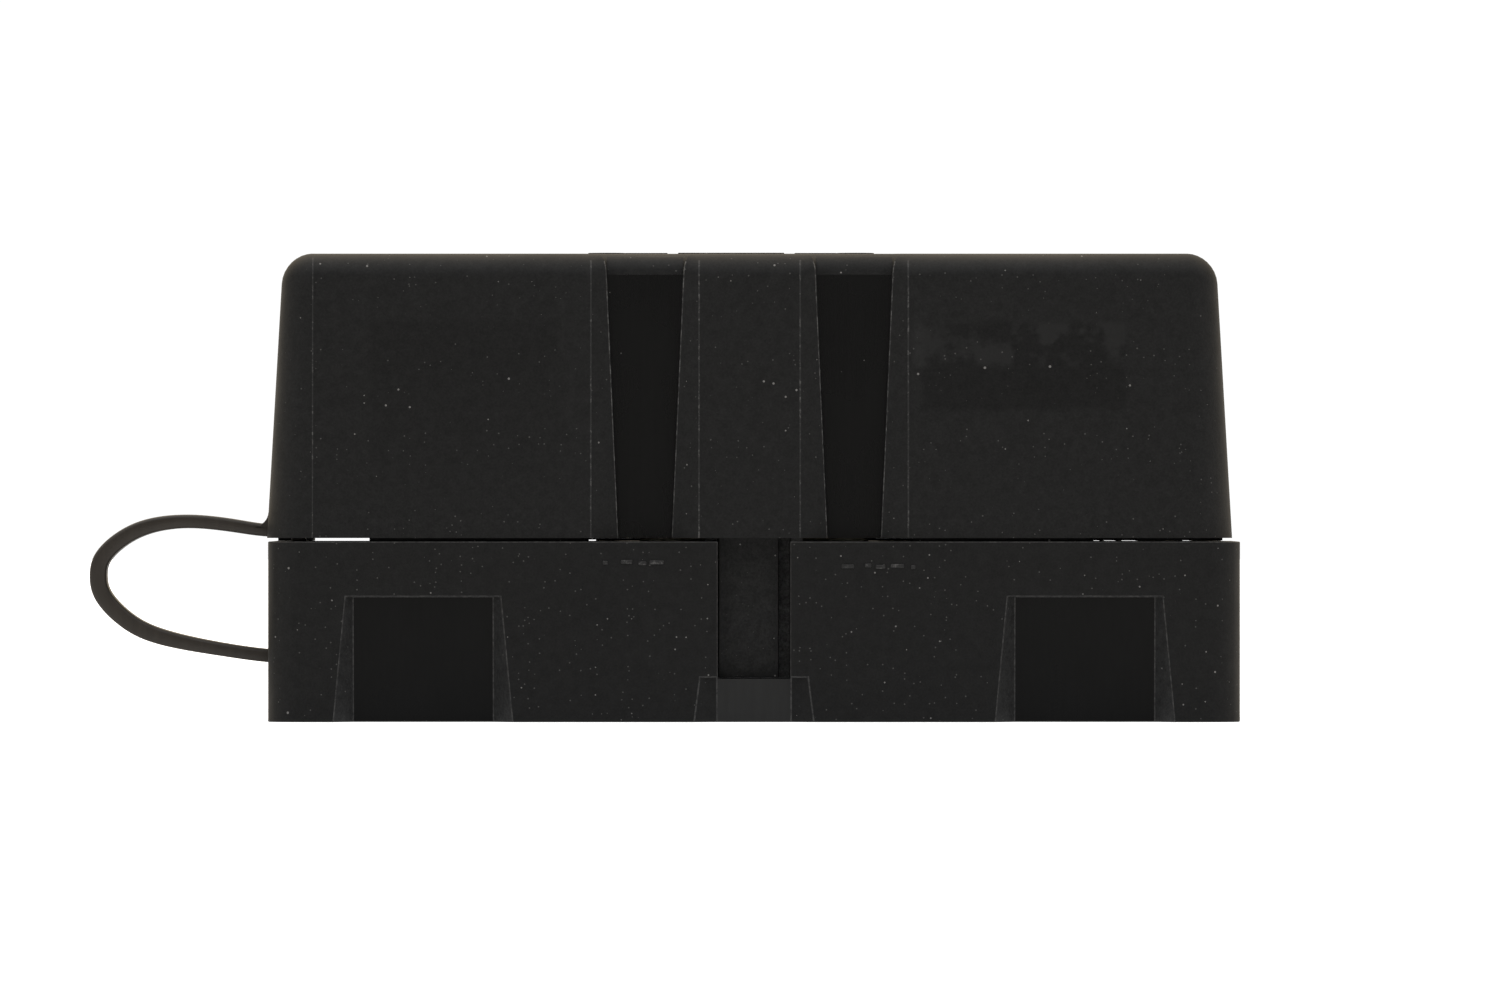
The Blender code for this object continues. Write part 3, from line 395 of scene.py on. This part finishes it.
BASE_SKIN = spark_eroded("base_grain", 0.0072)
COVER_SKIN = spark_eroded("cover_grain", 0.0092, handled=True)
# The latch arms: the cover's nylon painted about twice as light, painted light that lifts them out of the
# shade in the slot.
TONGUE_LIT_SKIN = spark_eroded("latch_grain_painted_light", 0.0165)
POLISHED = polished_nylon("polished_recess", 0.0050, 0.26, 0.19)
# The pockets' floors: the polished nylon with weaker reflection, darker as painted shade for their depth.
POCKET_FLOOR_SHADED = polished_nylon("pocket_floor_polish_painted_shade", 0.0050, 0.30, 0.14)
# The pockets' side walls: the base's nylon painted over three times lighter, painted light where they stand
# in shade.
POCKET_WALL_LIT = spark_eroded("pocket_wall_painted_light", 0.0260)
# Inside the latch well, behind the slot: the base's nylon painted far lighter, painted light so the gaps
# beside the arms are not black.
WELL_PAINTED_LIGHT = spark_eroded("latch_well_painted_light", 0.1250)
# The catch bar: the polished nylon painted four times lighter, painted light from the floor below it.
BAR_LIT_SATIN = polished_nylon("catch_bar_satin_painted_light", 0.0200, 0.42)
# Pale broken lines on sharp edges: partly rubbed wear, partly painted highlights.
BASE_HIGHLIT_EDGE = rubbed_and_highlit_line("base_edge_highlight", 0.0130, 0.060, 0.42, 0.62)
HIGHLIT_EDGE = rubbed_and_highlit_line("rubbed_edge_highlight", 0.0160, 0.10, 0.53, 0.64)
SHOULDER_HIGHLIT_EDGE = rubbed_and_highlit_line("shoulder_edge_highlight", 0.025, 0.15, 0.44, 0.62)
STRAP_SKIN = polished_nylon("strap_satin", 0.0270, 0.42, 0.5, 0.25)
BOARD = insulator("fibre_board_skin", (0.020, 0.018, 0.016), 0.75)
ZINC = metal("bright_zinc", (0.60, 0.61, 0.60), 0.33)
TIN_BRASS = metal("tinned_brass_skin", (0.66, 0.60, 0.45), 0.36, 0.8, (0.3, 3.0, 1.0))
LINK_ZINC = metal("stamped_link", (0.55, 0.56, 0.58), 0.42, 0.9, (0.25, 3.0, 1.0))
FUSE_SKIN = insulator("fuse_body_skin", (0.52, 0.49, 0.42), 0.5)
CLEAR = clear_plastic("clear_window_skin")


# ---------------------------------------------------------------- shapes

def piece(name, shape, materials, body, slot, *stands_for):
    """A finished mesh as an object of its own, riding on its body."""
    mesh = bpy.data.meshes.new(name)
    shape.to_mesh(mesh)
    shape.free()
    for material in materials:
        mesh.materials.append(material)
    mesh.shade_smooth()
    obj = bpy.data.objects.new(name, mesh)
    bpy.context.scene.collection.objects.link(obj)
    if body:
        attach(obj, body)
    if stands_for:
        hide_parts(*stands_for)
    return obj


def ease(obj, width, angle=32.0, segments=2, material=-1, clamp=True):
    """Small round edges wherever two faces meet at more than the angle."""
    edge = obj.modifiers.new("eased_edges", "BEVEL")
    edge.width = width
    edge.segments = segments
    edge.limit_method = "ANGLE"
    edge.angle_limit = math.radians(angle)
    edge.use_clamp_overlap = clamp
    edge.material = material
    normals = obj.modifiers.new("flat_faces", "WEIGHTED_NORMAL")
    normals.mode = "FACE_AREA"
    normals.weight = 80
    return obj


def solid_of(name, flat=0.6):
    """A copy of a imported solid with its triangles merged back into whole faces, flat to so many degrees."""
    shape = bmesh.new()
    shape.from_mesh(NODES[name].data)
    bmesh.ops.remove_doubles(shape, verts=shape.verts, dist=0.002 * MM)
    bmesh.ops.dissolve_limit(
        shape, angle_limit=math.radians(flat), verts=shape.verts, edges=shape.edges, delimit=set())
    return shape


def block(low, high):
    shape = bmesh.new()
    bmesh.ops.create_cube(shape, size=1.0)
    low, high = Vector(low), Vector(high)
    bmesh.ops.scale(shape, verts=shape.verts, vec=high - low)
    bmesh.ops.translate(shape, verts=shape.verts, vec=(low + high) / 2)
    return shape


def bevel(shape, chosen, offset, segments, material=-1):
    bmesh.ops.bevel(
        shape, geom=[edge for edge in shape.edges if chosen(edge)], offset=offset, offset_type="OFFSET",
        segments=segments, profile=0.5, affect="EDGES", clamp_overlap=True, material=material)


def combine(obj, operation, shape):
    """A Boolean with a helper solid, applied at once."""
    mesh = bpy.data.meshes.new("tool")
    shape.to_mesh(mesh)
    shape.free()
    tool = bpy.data.objects.new("tool", mesh)
    bpy.context.scene.collection.objects.link(tool)
    modifier = obj.modifiers.new("combine", "BOOLEAN")
    modifier.operation = operation
    modifier.solver = "EXACT"
    modifier.object = tool
    bpy.context.view_layer.update()
    made = bpy.data.meshes.new_from_object(obj.evaluated_get(bpy.context.evaluated_depsgraph_get()))
    obj.modifiers.remove(modifier)
    old, obj.data = obj.data, made
    made.name = obj.name
    bpy.data.objects.remove(tool)
    bpy.data.meshes.remove(old)
    bpy.data.meshes.remove(mesh)


def skin_through(loops):
    """A skin drawn out from loop to loop; returns it with the vertices of its two open ends."""
    shape = bmesh.new()
    first = verts = [shape.verts.new(point) for point in loops[0]]
    ring = [shape.edges.new((a, b)) for a, b in zip(verts, verts[1:] + verts[:1])]
    for loop in loops[1:]:
        drawn = set(verts)
        made = bmesh.ops.extrude_edge_only(shape, edges=ring)["geom"]
        follower = {}
        for vert in (item for item in made if isinstance(item, bmesh.types.BMVert)):
            parent = next(edge.other_vert(vert) for edge in vert.link_edges if edge.other_vert(vert) in drawn)
            follower[parent] = vert
        verts = [follower[vert] for vert in verts]
        for vert, point in zip(verts, loop):
            vert.co = point
        ring = [shape.edges.get((a, b)) for a, b in zip(verts, verts[1:] + verts[:1])]
    return shape, first, verts


# ---------------------------------------------------------------- cover

def cover_halves(height):
    share = (height - COVER_RIM) / (COVER_TOP - COVER_RIM)
    return COVER_HALF_LENGTH - END_DRAFT * share, COVER_HALF_WIDTH - SIDE_DRAFT * share


def channel_half(height):
    share = (height - COVER_RIM) / (COVER_TOP - COVER_RIM)
    return CHANNEL_FLOOR_RIM + (CHANNEL_FLOOR_TOP - CHANNEL_FLOOR_RIM) * share


ARC_STEPS = 8
QUARTER = (
    [("face", 0.0, 0), ("face", CENTRE_LOBE, -1), ("shoulder", -1, 0), ("floor", -1, 0), ("floor", 1, 0),
     ("shoulder", 1, 0), ("face", 2 * CHANNEL_MIDDLE - CENTRE_LOBE, 1), ("face", LOBE_EDGE - LOBE_LINE, 0)]
    + [("corner", step / ARC_STEPS, 0) for step in range(ARC_STEPS + 1)] + [("end", 0.0, 0)])


def cover_point(station, height, inside):
    """Where one station of the outline is at a height: its place, outward direction and top rounding."""
    kind, value, lean = station
    inset = WALL if inside else 0.0
    half_length, half_width = cover_halves(height)
    if kind == "face":
        place = Vector((value + lean * WALL_CORNER * inset, -(half_width - inset)))
        return place, Vector((0.0, -1.0)), FRONT_ROUND
    if kind in ("shoulder", "floor"):
        backed = CHANNEL_WALL if inside else 0.0
        floor_y = COVER_HALF_WIDTH - CHANNEL_DEPTH - backed
        half = channel_half(height) + WALL_CORNER * backed
        if kind == "floor":
            x = CHANNEL_MIDDLE + value * (half - SHOULDER_UNDERCUT)
            return Vector((x, -floor_y)), Vector((0.0, -1.0)), CHANNEL_ROUND
        drop = SHOULDER_SHARE * (half_width - inset - floor_y)
        x = CHANNEL_MIDDLE + value * half
        return Vector((x, -(half_width - inset - drop))), Vector((0.0, -1.0)), SHOULDER_ROUND
    if kind == "corner":
        radius = half_length - LOBE_EDGE
        turn = value * math.pi / 2
        way = Vector((math.sin(turn), -math.cos(turn)))
        centre = Vector((LOBE_EDGE, -(half_width - radius)))
        top_round = FRONT_ROUND + (END_ROUND - FRONT_ROUND) * value
        return centre + way * (max(radius - inset, INNER_CORNER) if inside else radius), way, top_round
    return Vector((half_length - inset, 0.0)), Vector((1.0, 0.0)), END_ROUND


def cover_loop(level, inside):
    """One closed outline of the cover. A level is a height, or a turn in degrees over the top edge."""
    loop = []
    kind, amount = level
    top = COVER_TOP - (WALL if inside else 0.0)
    quarters = ((1, 1, False), (1, -1, True), (-1, -1, False), (-1, 1, True))
    for sx, sy, backwards in quarters:
        stations = QUARTER[::-1] if backwards else QUARTER
        for station in stations[:-1]:
            rounding = 0.0
            height = amount
            if kind == "turn":
                rounding = INNER_ROUND if inside else cover_point(station, top, inside)[2]
                height = top - rounding * (1 - math.sin(math.radians(amount)))
            place, way, _ = cover_point(station, height, inside)
            if kind == "turn":
                lean_in = 1 - math.cos(math.radians(amount))
                place = place - way * rounding * lean_in
                if station[0] == "shoulder" and not inside:
                    place.x += station[1] * SHOULDER_ARC * lean_in
            loop.append(Vector((COVER_MIDDLE + sx * place.x, sy * place.y, height)))
    return loop


def open_end_walls(cover):
    """The cable mouth through both end walls, and the notch that the strap leaves by."""
    reach = 2 * COVER_HALF_LENGTH
    below = COVER_RIM - 2 * MM
    arch = block((-reach, -ARCH_HALF, below), (reach, ARCH_HALF, COVER_RIM + ARCH_HEIGHT))
    bevel(arch, lambda edge: all(vert.co.z > COVER_RIM for vert in edge.verts)
          and abs(edge.verts[0].co.x - edge.verts[1].co.x) > reach, ARCH_HALF - 0.1 * MM, 16)
    combine(cover, "DIFFERENCE", arch)
    notch_half = STRAP_WIDTH / 2 + 0.3 * MM
    combine(cover, "DIFFERENCE", block(
        (-reach, STRAP_Y - notch_half, below),
        (COVER_MIDDLE - COVER_HALF_LENGTH + 2 * WALL, STRAP_Y + notch_half, COVER_RIM + 1.8 * MM)))


def hang_lips_and_seats(cover):
    """The latch arms' root blocks, the locating lips and the seat pads, inside the cover."""
    _, tongue_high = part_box("latch_tongue_front")
    tongue_top, tongue_back = tongue_high.z, -tongue_high.y
    for side in (-1, 1):
        low, high = sorted((side * (tongue_back + 0.3 * MM), side * (COVER_HALF_WIDTH - 1.6 * MM)))
        combine(cover, "UNION", block(
            (COVER_MIDDLE - TONGUE_HALF, low, tongue_top + TONGUE_ROOT_GAP),
            (COVER_MIDDLE + TONGUE_HALF, high, tongue_top + 6.3 * MM)))
        low, high = sorted((side * LIP_NEAR, side * LIP_FAR))
        for near, far in LIPS:
            combine(cover, "UNION", block(
                (COVER_MIDDLE + near * MM, low, COVER_RIM - LIP_REACH),
                (COVER_MIDDLE + far * MM, high, COVER_RIM + 2 * LIP_REACH)))
    for near, far in SEATS:
        combine(cover, "UNION", block(
            (COVER_MIDDLE + near * MM, SEAT_NEAR, COVER_RIM - SEAT_DROP),
            (COVER_MIDDLE + far * MM, SEAT_FAR, COVER_RIM + SEAT_ROOT)))
    near, far = HAIRLINE_SEAT
    inside = 1 * MM
    combine(cover, "UNION", block(
        (COVER_MIDDLE + near * MM, SEAT_NEAR + inside, COVER_RIM - HAIRLINE_SEAT_DROP),
        (COVER_MIDDLE + far * MM, SEAT_FAR - inside, COVER_RIM + 0.8 * SEAT_ROOT)))


def make_cover():
    """Drawn as one skin: from the crown down the outside, in under the rim and up the inside."""
    middle = (COVER_RIM + COVER_TOP) / 2
    outside = [("turn", turn) for turn in (90, 78.75, 67.5, 56.25, 45, 33.75, 22.5, 11.25, 0)]
    outside += [("height", middle), ("height", COVER_RIM)]
    inside = [("height", COVER_RIM), ("height", middle)]
    inside += [("turn", turn) for turn in (0, 22.5, 45, 67.5, 90)]
    loops = [cover_loop(level, False) for level in outside] + [cover_loop(level, True) for level in inside]

    shape, first, last = skin_through(loops)
    bmesh.ops.inset_region(shape, faces=[shape.faces.new(first)], thickness=0.35 * MM, use_even_offset=True)
    shape.faces.new(last)
    bmesh.ops.recalc_face_normals(shape, faces=shape.faces)

    floor_depth = COVER_HALF_WIDTH - CHANNEL_DEPTH
    for face in shape.faces:
        centre = face.calc_center_median()
        out = abs(centre.x - COVER_MIDDLE)
        in_channel = abs(out - CHANNEL_MIDDLE) < CHANNEL_FLOOR_RIM
        if in_channel and abs(abs(centre.y) - floor_depth) < 0.02 * MM:
            face.material_index = 1
        # A narrow strip at the end of each long face gets the pale edge line: partly rubbed, partly a painted
        # highlight.
        on_line = centre.x < COVER_MIDDLE and abs(out - (LOBE_EDGE - LOBE_LINE / 2)) < LOBE_LINE / 2
        if on_line and abs(centre.y) > floor_depth and centre.z < COVER_TOP - 0.3 * MM:
            face.material_index = 2

    def runs_up(edge):
        ends = [abs(vert.co.y) for vert in edge.verts]
        return abs(edge.verts[0].co.z - edge.verts[1].co.z) > 0.05 * MM and min(ends) > floor_depth + 0.2 * MM

    def mouth(edge):
        lines = (CENTRE_LOBE, 2 * CHANNEL_MIDDLE - CENTRE_LOBE)
        out = [abs(vert.co.x - COVER_MIDDLE) for vert in edge.verts]
        return runs_up(edge) and any(all(abs(value - line) < 0.01 * MM for value in out) for line in lines)

    def shoulder(edge):
        out = [abs(abs(vert.co.x - COVER_MIDDLE) - CHANNEL_MIDDLE) - channel_half(vert.co.z)
               for vert in edge.verts]
        return runs_up(edge) and all(-0.02 * MM < value < SHOULDER_ARC for value in out)

    # The channel mouths and shoulders get pale edge lines: partly rubbed, partly painted highlights.
    bevel(shape, mouth, 0.09 * MM, 2, 2)
    bevel(shape, shoulder, 0.11 * MM, 2, 3)
    skins = (COVER_SKIN, POLISHED, HIGHLIT_EDGE, SHOULDER_HIGHLIT_EDGE)
    cover = piece("cover_casing", shape, skins, "cover", "cover_nylon", "cover_shell")

    open_end_walls(cover)
    hang_lips_and_seats(cover)
    # The eased edges take the pale edge line too: partly rubbed, partly painted highlight.
    ease(cover, 0.16 * MM, 38.0, 2, 2)


def make_cover_mark():
    """A raised, plain fuse symbol on the crown: a box with a line through it, between two stud rings."""
    height = 0.12 * MM
    middle = Vector((-2.6 * MM, -14.0 * MM))
    foot = COVER_TOP - 0.05 * MM
    strokes = (   # corners, in millimetres from the middle
        ((-12.0, -0.4), (-7.2, 0.4)),
        ((7.2, -0.4), (12.0, 0.4)),
        ((-6.0, 1.6), (6.0, 2.4)),
        ((-6.0, -2.4), (6.0, -1.6)),
        ((-6.0, -1.3), (-5.2, 1.3)),
        ((5.2, -1.3), (6.0, 1.3)),
        ((-3.6, -0.4), (3.6, 0.4)),
    )

    def on_top(edge):
        return all(vert.co.z > COVER_TOP + height / 2 for vert in edge.verts)

    for number, (low, high) in enumerate(strokes, start=1):
        shape = block(
            (middle.x + low[0] * MM, middle.y + low[1] * MM, foot),
            (middle.x + high[0] * MM, middle.y + high[1] * MM, COVER_TOP + height))
        bevel(shape, on_top, 0.05 * MM, 2)
        piece(f"cover_mark_{number}", shape, (COVER_SKIN,), "cover", "cover_nylon")
    for number, side in enumerate((-1, 1), start=1):
        shape = bmesh.new()
        outer, inner = 2.1 * MM, 1.3 * MM
        top = COVER_TOP + height
        profile = [shape.verts.new((radius, 0.0, z))
                   for radius, z in ((outer, foot), (outer, top), (inner, top), (inner, foot))]
        edges = [shape.edges.new((a, b)) for a, b in zip(profile, profile[1:] + profile[:1])]
        bmesh.ops.spin(
            shape, geom=profile + edges, cent=(0, 0, 0), axis=(0, 0, 1), angle=math.tau, steps=32,
            use_merge=True)
        bmesh.ops.remove_doubles(shape, verts=shape.verts, dist=0.001 * MM)
        bmesh.ops.recalc_face_normals(shape, faces=shape.faces)
        bmesh.ops.translate(shape, verts=shape.verts, vec=(middle.x + side * 14.1 * MM, middle.y, 0.0))
        ring = piece(f"cover_mark_ring_{number}", shape, (COVER_SKIN,), "cover", "cover_nylon")
        ease(ring, 0.04 * MM, 40.0, 2)


# ---------------------------------------------------------------- base

def make_base():
    shape = solid_of("base_shell", 1.6)
    face_y = -BASE_LOW.y
    # Lighter copies of the nylon on the latch well, the pocket walls and the catch bar are painted light; the
    # pocket floors' duller copy is painted shade.
    for face in shape.faces:
        centre = face.calc_center_median()
        if 13 * MM < abs(centre.y) < face_y - 2.3 * MM and abs(centre.x) < 7 * MM:
            face.material_index = 5
        low_pocket = 28 * MM < abs(centre.x) < 52 * MM and centre.z < 16 * MM
        if low_pocket and abs(face.normal.x) > 0.5 and face_y - 5 * MM < abs(centre.y) < face_y - 0.3 * MM:
            face.material_index = 4
        facing = abs(face.normal.y) > 0.9 and face.normal.y * centre.y > 0
        if not facing or centre.z > 16 * MM:
            continue
        deep = face_y - abs(centre.y)
        if deep > 0.6 * MM and 28 * MM < abs(centre.x) < 47 * MM:
            face.material_index = 1
        if 0.6 * MM < deep < 2.2 * MM and abs(centre.x) < 3 * MM and centre.z < 6 * MM:
            face.material_index = 2
    skins = (BASE_SKIN, POCKET_FLOOR_SHADED, BAR_LIT_SATIN, BASE_HIGHLIT_EDGE, POCKET_WALL_LIT, WELL_PAINTED_LIGHT)
    base = piece("base_casing", shape, skins, "base", "base_nylon", "base_shell")
    # The base's eased edges get the pale edge line: partly rubbed, partly painted highlight.
    ease(base, 0.10 * MM, 28.0, 2, 3, clamp=False)


def make_cavity_marks():
    """Low moulded dots and dashes below the rim of the front face, as a tool's cavity marks."""
    marks = ((-16.8, 18.0, 0.55), (-14.4, 18.1, 1.3), (-12.6, 17.95, 0.9), (-11.0, 18.05, 1.6),
             (10.6, 17.6, 1.4), (12.9, 17.7, 0.7), (14.3, 17.55, 1.1), (16.2, 17.65, 1.5), (18.0, 17.5, 0.5))
    for number, (x, z, length) in enumerate(marks, start=1):
        shape = block(
            ((x - length / 2) * MM, BASE_LOW.y - 0.13 * MM, (z - 0.22) * MM),
            ((x + length / 2) * MM, BASE_LOW.y + 0.2 * MM, (z + 0.22) * MM))
        bevel(shape, lambda edge: True, 0.09 * MM, 2)
        # The marks take the pale edge line: partly rubbed, partly painted highlight.
        piece(f"cavity_mark_{number}", shape, (HIGHLIT_EDGE,), "base", "base_nylon")


# ---------------------------------------------------------------- latch and strap

def make_tongues():
    for side in ("front", "rear"):
        shape = solid_of(f"latch_tongue_{side}")
        left = [vert for vert in shape.verts if vert.co.x < COVER_MIDDLE]
        bmesh.ops.translate(shape, verts=left, vec=(-TONGUE_LEFT_EXTRA, 0.0, 0.0))
        # The arms wear the lighter latch nylon: painted light.
        tongue = piece(
            f"latch_arm_{side}", shape, (TONGUE_LIT_SKIN,), f"latch_{side}", "cover_nylon",
            f"latch_tongue_{side}")
        ease(tongue, 0.25 * MM, 32.0, 3)


def smooth_route(points, steps):
    """Catmull-Rom points through the route, with the ends carried on straight, then smoothed."""
    ends = [2 * points[0] - points[1], *points, 2 * points[-1] - points[-2]]
    route = []
    for before, start, stop, after in zip(ends, ends[1:], ends[2:], ends[3:]):
        for step in range(steps):
            t = step / steps
            route.append(0.5 * (
                2 * start + (stop - before) * t + (2 * before - 5 * start + 4 * stop - after) * t**2
                + (3 * start - before - 3 * stop + after) * t**3))
    route.append(points[-1])
    for _ in range(SMOOTHING_PASSES):
        route = [route[0], *((before + 2 * point + after) / 4 for before, point, after in zip(
            route, route[1:], route[2:])), route[-1]]
    return route


def make_strap():
    """A flat band with rounded edges, thicker round its bend, and a cross head at each end."""
    route = smooth_route([Vector(point) * MM for point in STRAP_ROUTE], STRAP_STEPS)
    corner = 0.4 * MM
    loops = []
    for index, (out, height, thick) in enumerate(route):
        along = route[min(index + 1, len(route) - 1)] - route[max(index - 1, 0)]
        across = Vector((along.y, 0.0, along.x)).normalized()
        centre = Vector((BASE_LOW.x - out, STRAP_Y, height))
        loop = []
        for side_y, side_z, start in ((1, 1, 0), (-1, 1, 90), (-1, -1, 180), (1, -1, 270)):
            for turn in (0, 30, 60, 90):
                angle = math.radians(start + turn)
                y = side_y * (STRAP_WIDTH / 2 - corner) + corner * math.cos(angle)
                z = side_z * (thick / 2 - corner) + corner * math.sin(angle)
                loop.append(centre + Vector((0.0, y, 0.0)) + across * z)
        loops.append(loop)
    shape, first, last = skin_through(loops)
    shape.faces.new(first)
    shape.faces.new(last)
    bmesh.ops.recalc_face_normals(shape, faces=shape.faces)
    strap = piece("tether_band", shape, (STRAP_SKIN,), None, "strap_nylon", "tether_strap")
    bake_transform(strap)
    for body, foot, wall in (
            ("base", STRAP_FOOT, BASE_LOW.x + 2.6 * MM), ("cover", STRAP_TOP, COVER_LOW.x + WALL)):
        head = block(
            (wall + 0.35 * MM, STRAP_Y - 4.1 * MM, foot - 1.3 * MM),
            (wall + 1.85 * MM, STRAP_Y + 4.1 * MM, foot + 1.3 * MM))
        bevel(head, lambda edge: True, 0.3 * MM, 2)
        piece(f"tether_head_{body}", head, (STRAP_SKIN,), body, "strap_nylon", "tether_strap")


def make_strap_root():
    """The moulded fillet above the strap, where it leaves the cover's end wall."""
    wall = COVER_MIDDLE - COVER_HALF_LENGTH
    foot = COVER_RIM + 1.35 * MM
    radius = 1.6 * MM
    shape = bmesh.new()
    outline = [(wall + 0.5 * MM, foot - 0.3 * MM), (wall + 0.5 * MM, foot + radius)]
    for step in range(9):
        turn = step / 8 * math.pi / 2
        out, up = radius * (1 - math.cos(turn)), radius * (1 - math.sin(turn))
        outline.append((wall + 0.1 * MM - out, foot + up))
    outline.append((wall + 0.1 * MM - radius, foot - 0.3 * MM))
    face = shape.faces.new([shape.verts.new((x, STRAP_Y - STRAP_WIDTH / 2, z)) for x, z in outline])
    made = bmesh.ops.extrude_face_region(shape, geom=[face])["geom"]
    moved = [item for item in made if isinstance(item, bmesh.types.BMVert)]
    bmesh.ops.translate(shape, verts=moved, vec=(0.0, STRAP_WIDTH, 0.0))
    bmesh.ops.recalc_face_normals(shape, faces=shape.faces)
    root = piece("strap_root_fillet", shape, (STRAP_SKIN,), "cover", "strap_nylon")
    ease(root, 0.12 * MM, 50.0, 2)


# ---------------------------------------------------------------- terminals

def make_stud(side):
    node_name = f"stud_{side}"
    low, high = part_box(node_name)
    middle = (low.x + high.x) / 2
    pitch = 1.25 * MM
    rows_per_turn = 8
    around = 40
    foot = low.z + 2.0 * MM
    crest, root, tip_radius = 3.97 * MM, 3.3 * MM, 3.0 * MM
    rows = int((high.z - foot) / pitch * rows_per_turn)
    step = (high.z - foot) / rows
    shape = bmesh.new()
    ring = bmesh.ops.create_circle(shape, segments=around, radius=crest, cap_ends=True)["verts"]
    bmesh.ops.translate(shape, verts=ring, vec=(0.0, 0.0, foot))
    edges = [edge for edge in shape.edges]
    for _ in range(rows):
        made = bmesh.ops.extrude_edge_only(shape, edges=edges)["geom"]
        verts = [item for item in made if isinstance(item, bmesh.types.BMVert)]
        edges = [item for item in made if isinstance(item, bmesh.types.BMEdge)
                 and all(vert in verts for vert in item.verts)]
        bmesh.ops.translate(shape, verts=verts, vec=(0.0, 0.0, step))
    bmesh.ops.contextual_create(shape, geom=edges)
    for vert in shape.verts:
        turn = math.atan2(vert.co.y, vert.co.x) / math.tau
        phase = (vert.co.z / pitch - turn) % 1.0
        ridge = min(1.0, max(0.0, 1.15 - abs(phase - 0.5) * 2.6))
        radius = root + (crest - root) * ridge
        tip = high.z - vert.co.z
        radius = min(radius, tip_radius + tip)
        scale = radius / max(math.hypot(vert.co.x, vert.co.y), 1e-9)
        vert.co.x *= scale
        vert.co.y *= scale
    bmesh.ops.translate(shape, verts=shape.verts, vec=(middle, 0.0, 0.0))
    bmesh.ops.recalc_face_normals(shape, faces=shape.faces)
    piece(f"stud_thread_{side}", shape, (ZINC,), "base", "zinc_steel", node_name)
    head = block((low.x, low.y, low.z), (high.x, high.y, low.z + 3.5 * MM))
    bevel(head, lambda edge: True, 0.5 * MM, 2)
    piece(f"stud_head_{side}", head, (ZINC,), "base", "zinc_steel", node_name)


EASED = {
    "bottom_plate": (BOARD, "fibre_board", 0.15),
    "terminal_plate_left": (TIN_BRASS, "tinned_brass", 0.2),
    "terminal_plate_right": (TIN_BRASS, "tinned_brass", 0.2),
    "fuse_link": (LINK_ZINC, "link_metal", 0.12),
    "fuse_body_lower": (FUSE_SKIN, "fuse_plastic", 0.3),
    "fuse_body_upper": (FUSE_SKIN, "fuse_plastic", 0.3),
    "fuse_window": (CLEAR, "clear_window", 0.12),
    **{f"flat_washer_{side}": (ZINC, "zinc_steel", 0.1) for side in ("left", "right")},
    **{f"spring_washer_{side}": (ZINC, "zinc_steel", 0.1) for side in ("left", "right")},
    **{f"nut_{side}": (ZINC, "zinc_steel", 0.14) for side in ("left", "right")},
    **{f"mount_bush_{side}": (ZINC, "zinc_steel", 0.1) for side in ("left", "right")},
    **{f"plate_screw_{number}": (ZINC, "zinc_steel", 0.08) for number in range(1, 5)},
    **{f"fuse_rivet_{number}": (ZINC, "zinc_steel", 0.1) for number in range(1, 5)},
}


def make_eased_parts():
    for name, (material, slot, width) in EASED.items():
        body = NODES[name]["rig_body"]
        ease(piece(f"{name}_eased", solid_of(name), (material,), body, slot, name), width * MM, 32.0, 2)


# ---------------------------------------------------------------- assembly

bpy.context.scene.view_settings.view_transform = "Standard"
look_from_the_front()
light_the_room()
lay_the_floor()
make_cover()
make_cover_mark()
make_base()
make_cavity_marks()
make_tongues()
make_strap()
make_strap_root()
for stud_side in ("left", "right"):
    make_stud(stud_side)
make_eased_parts()
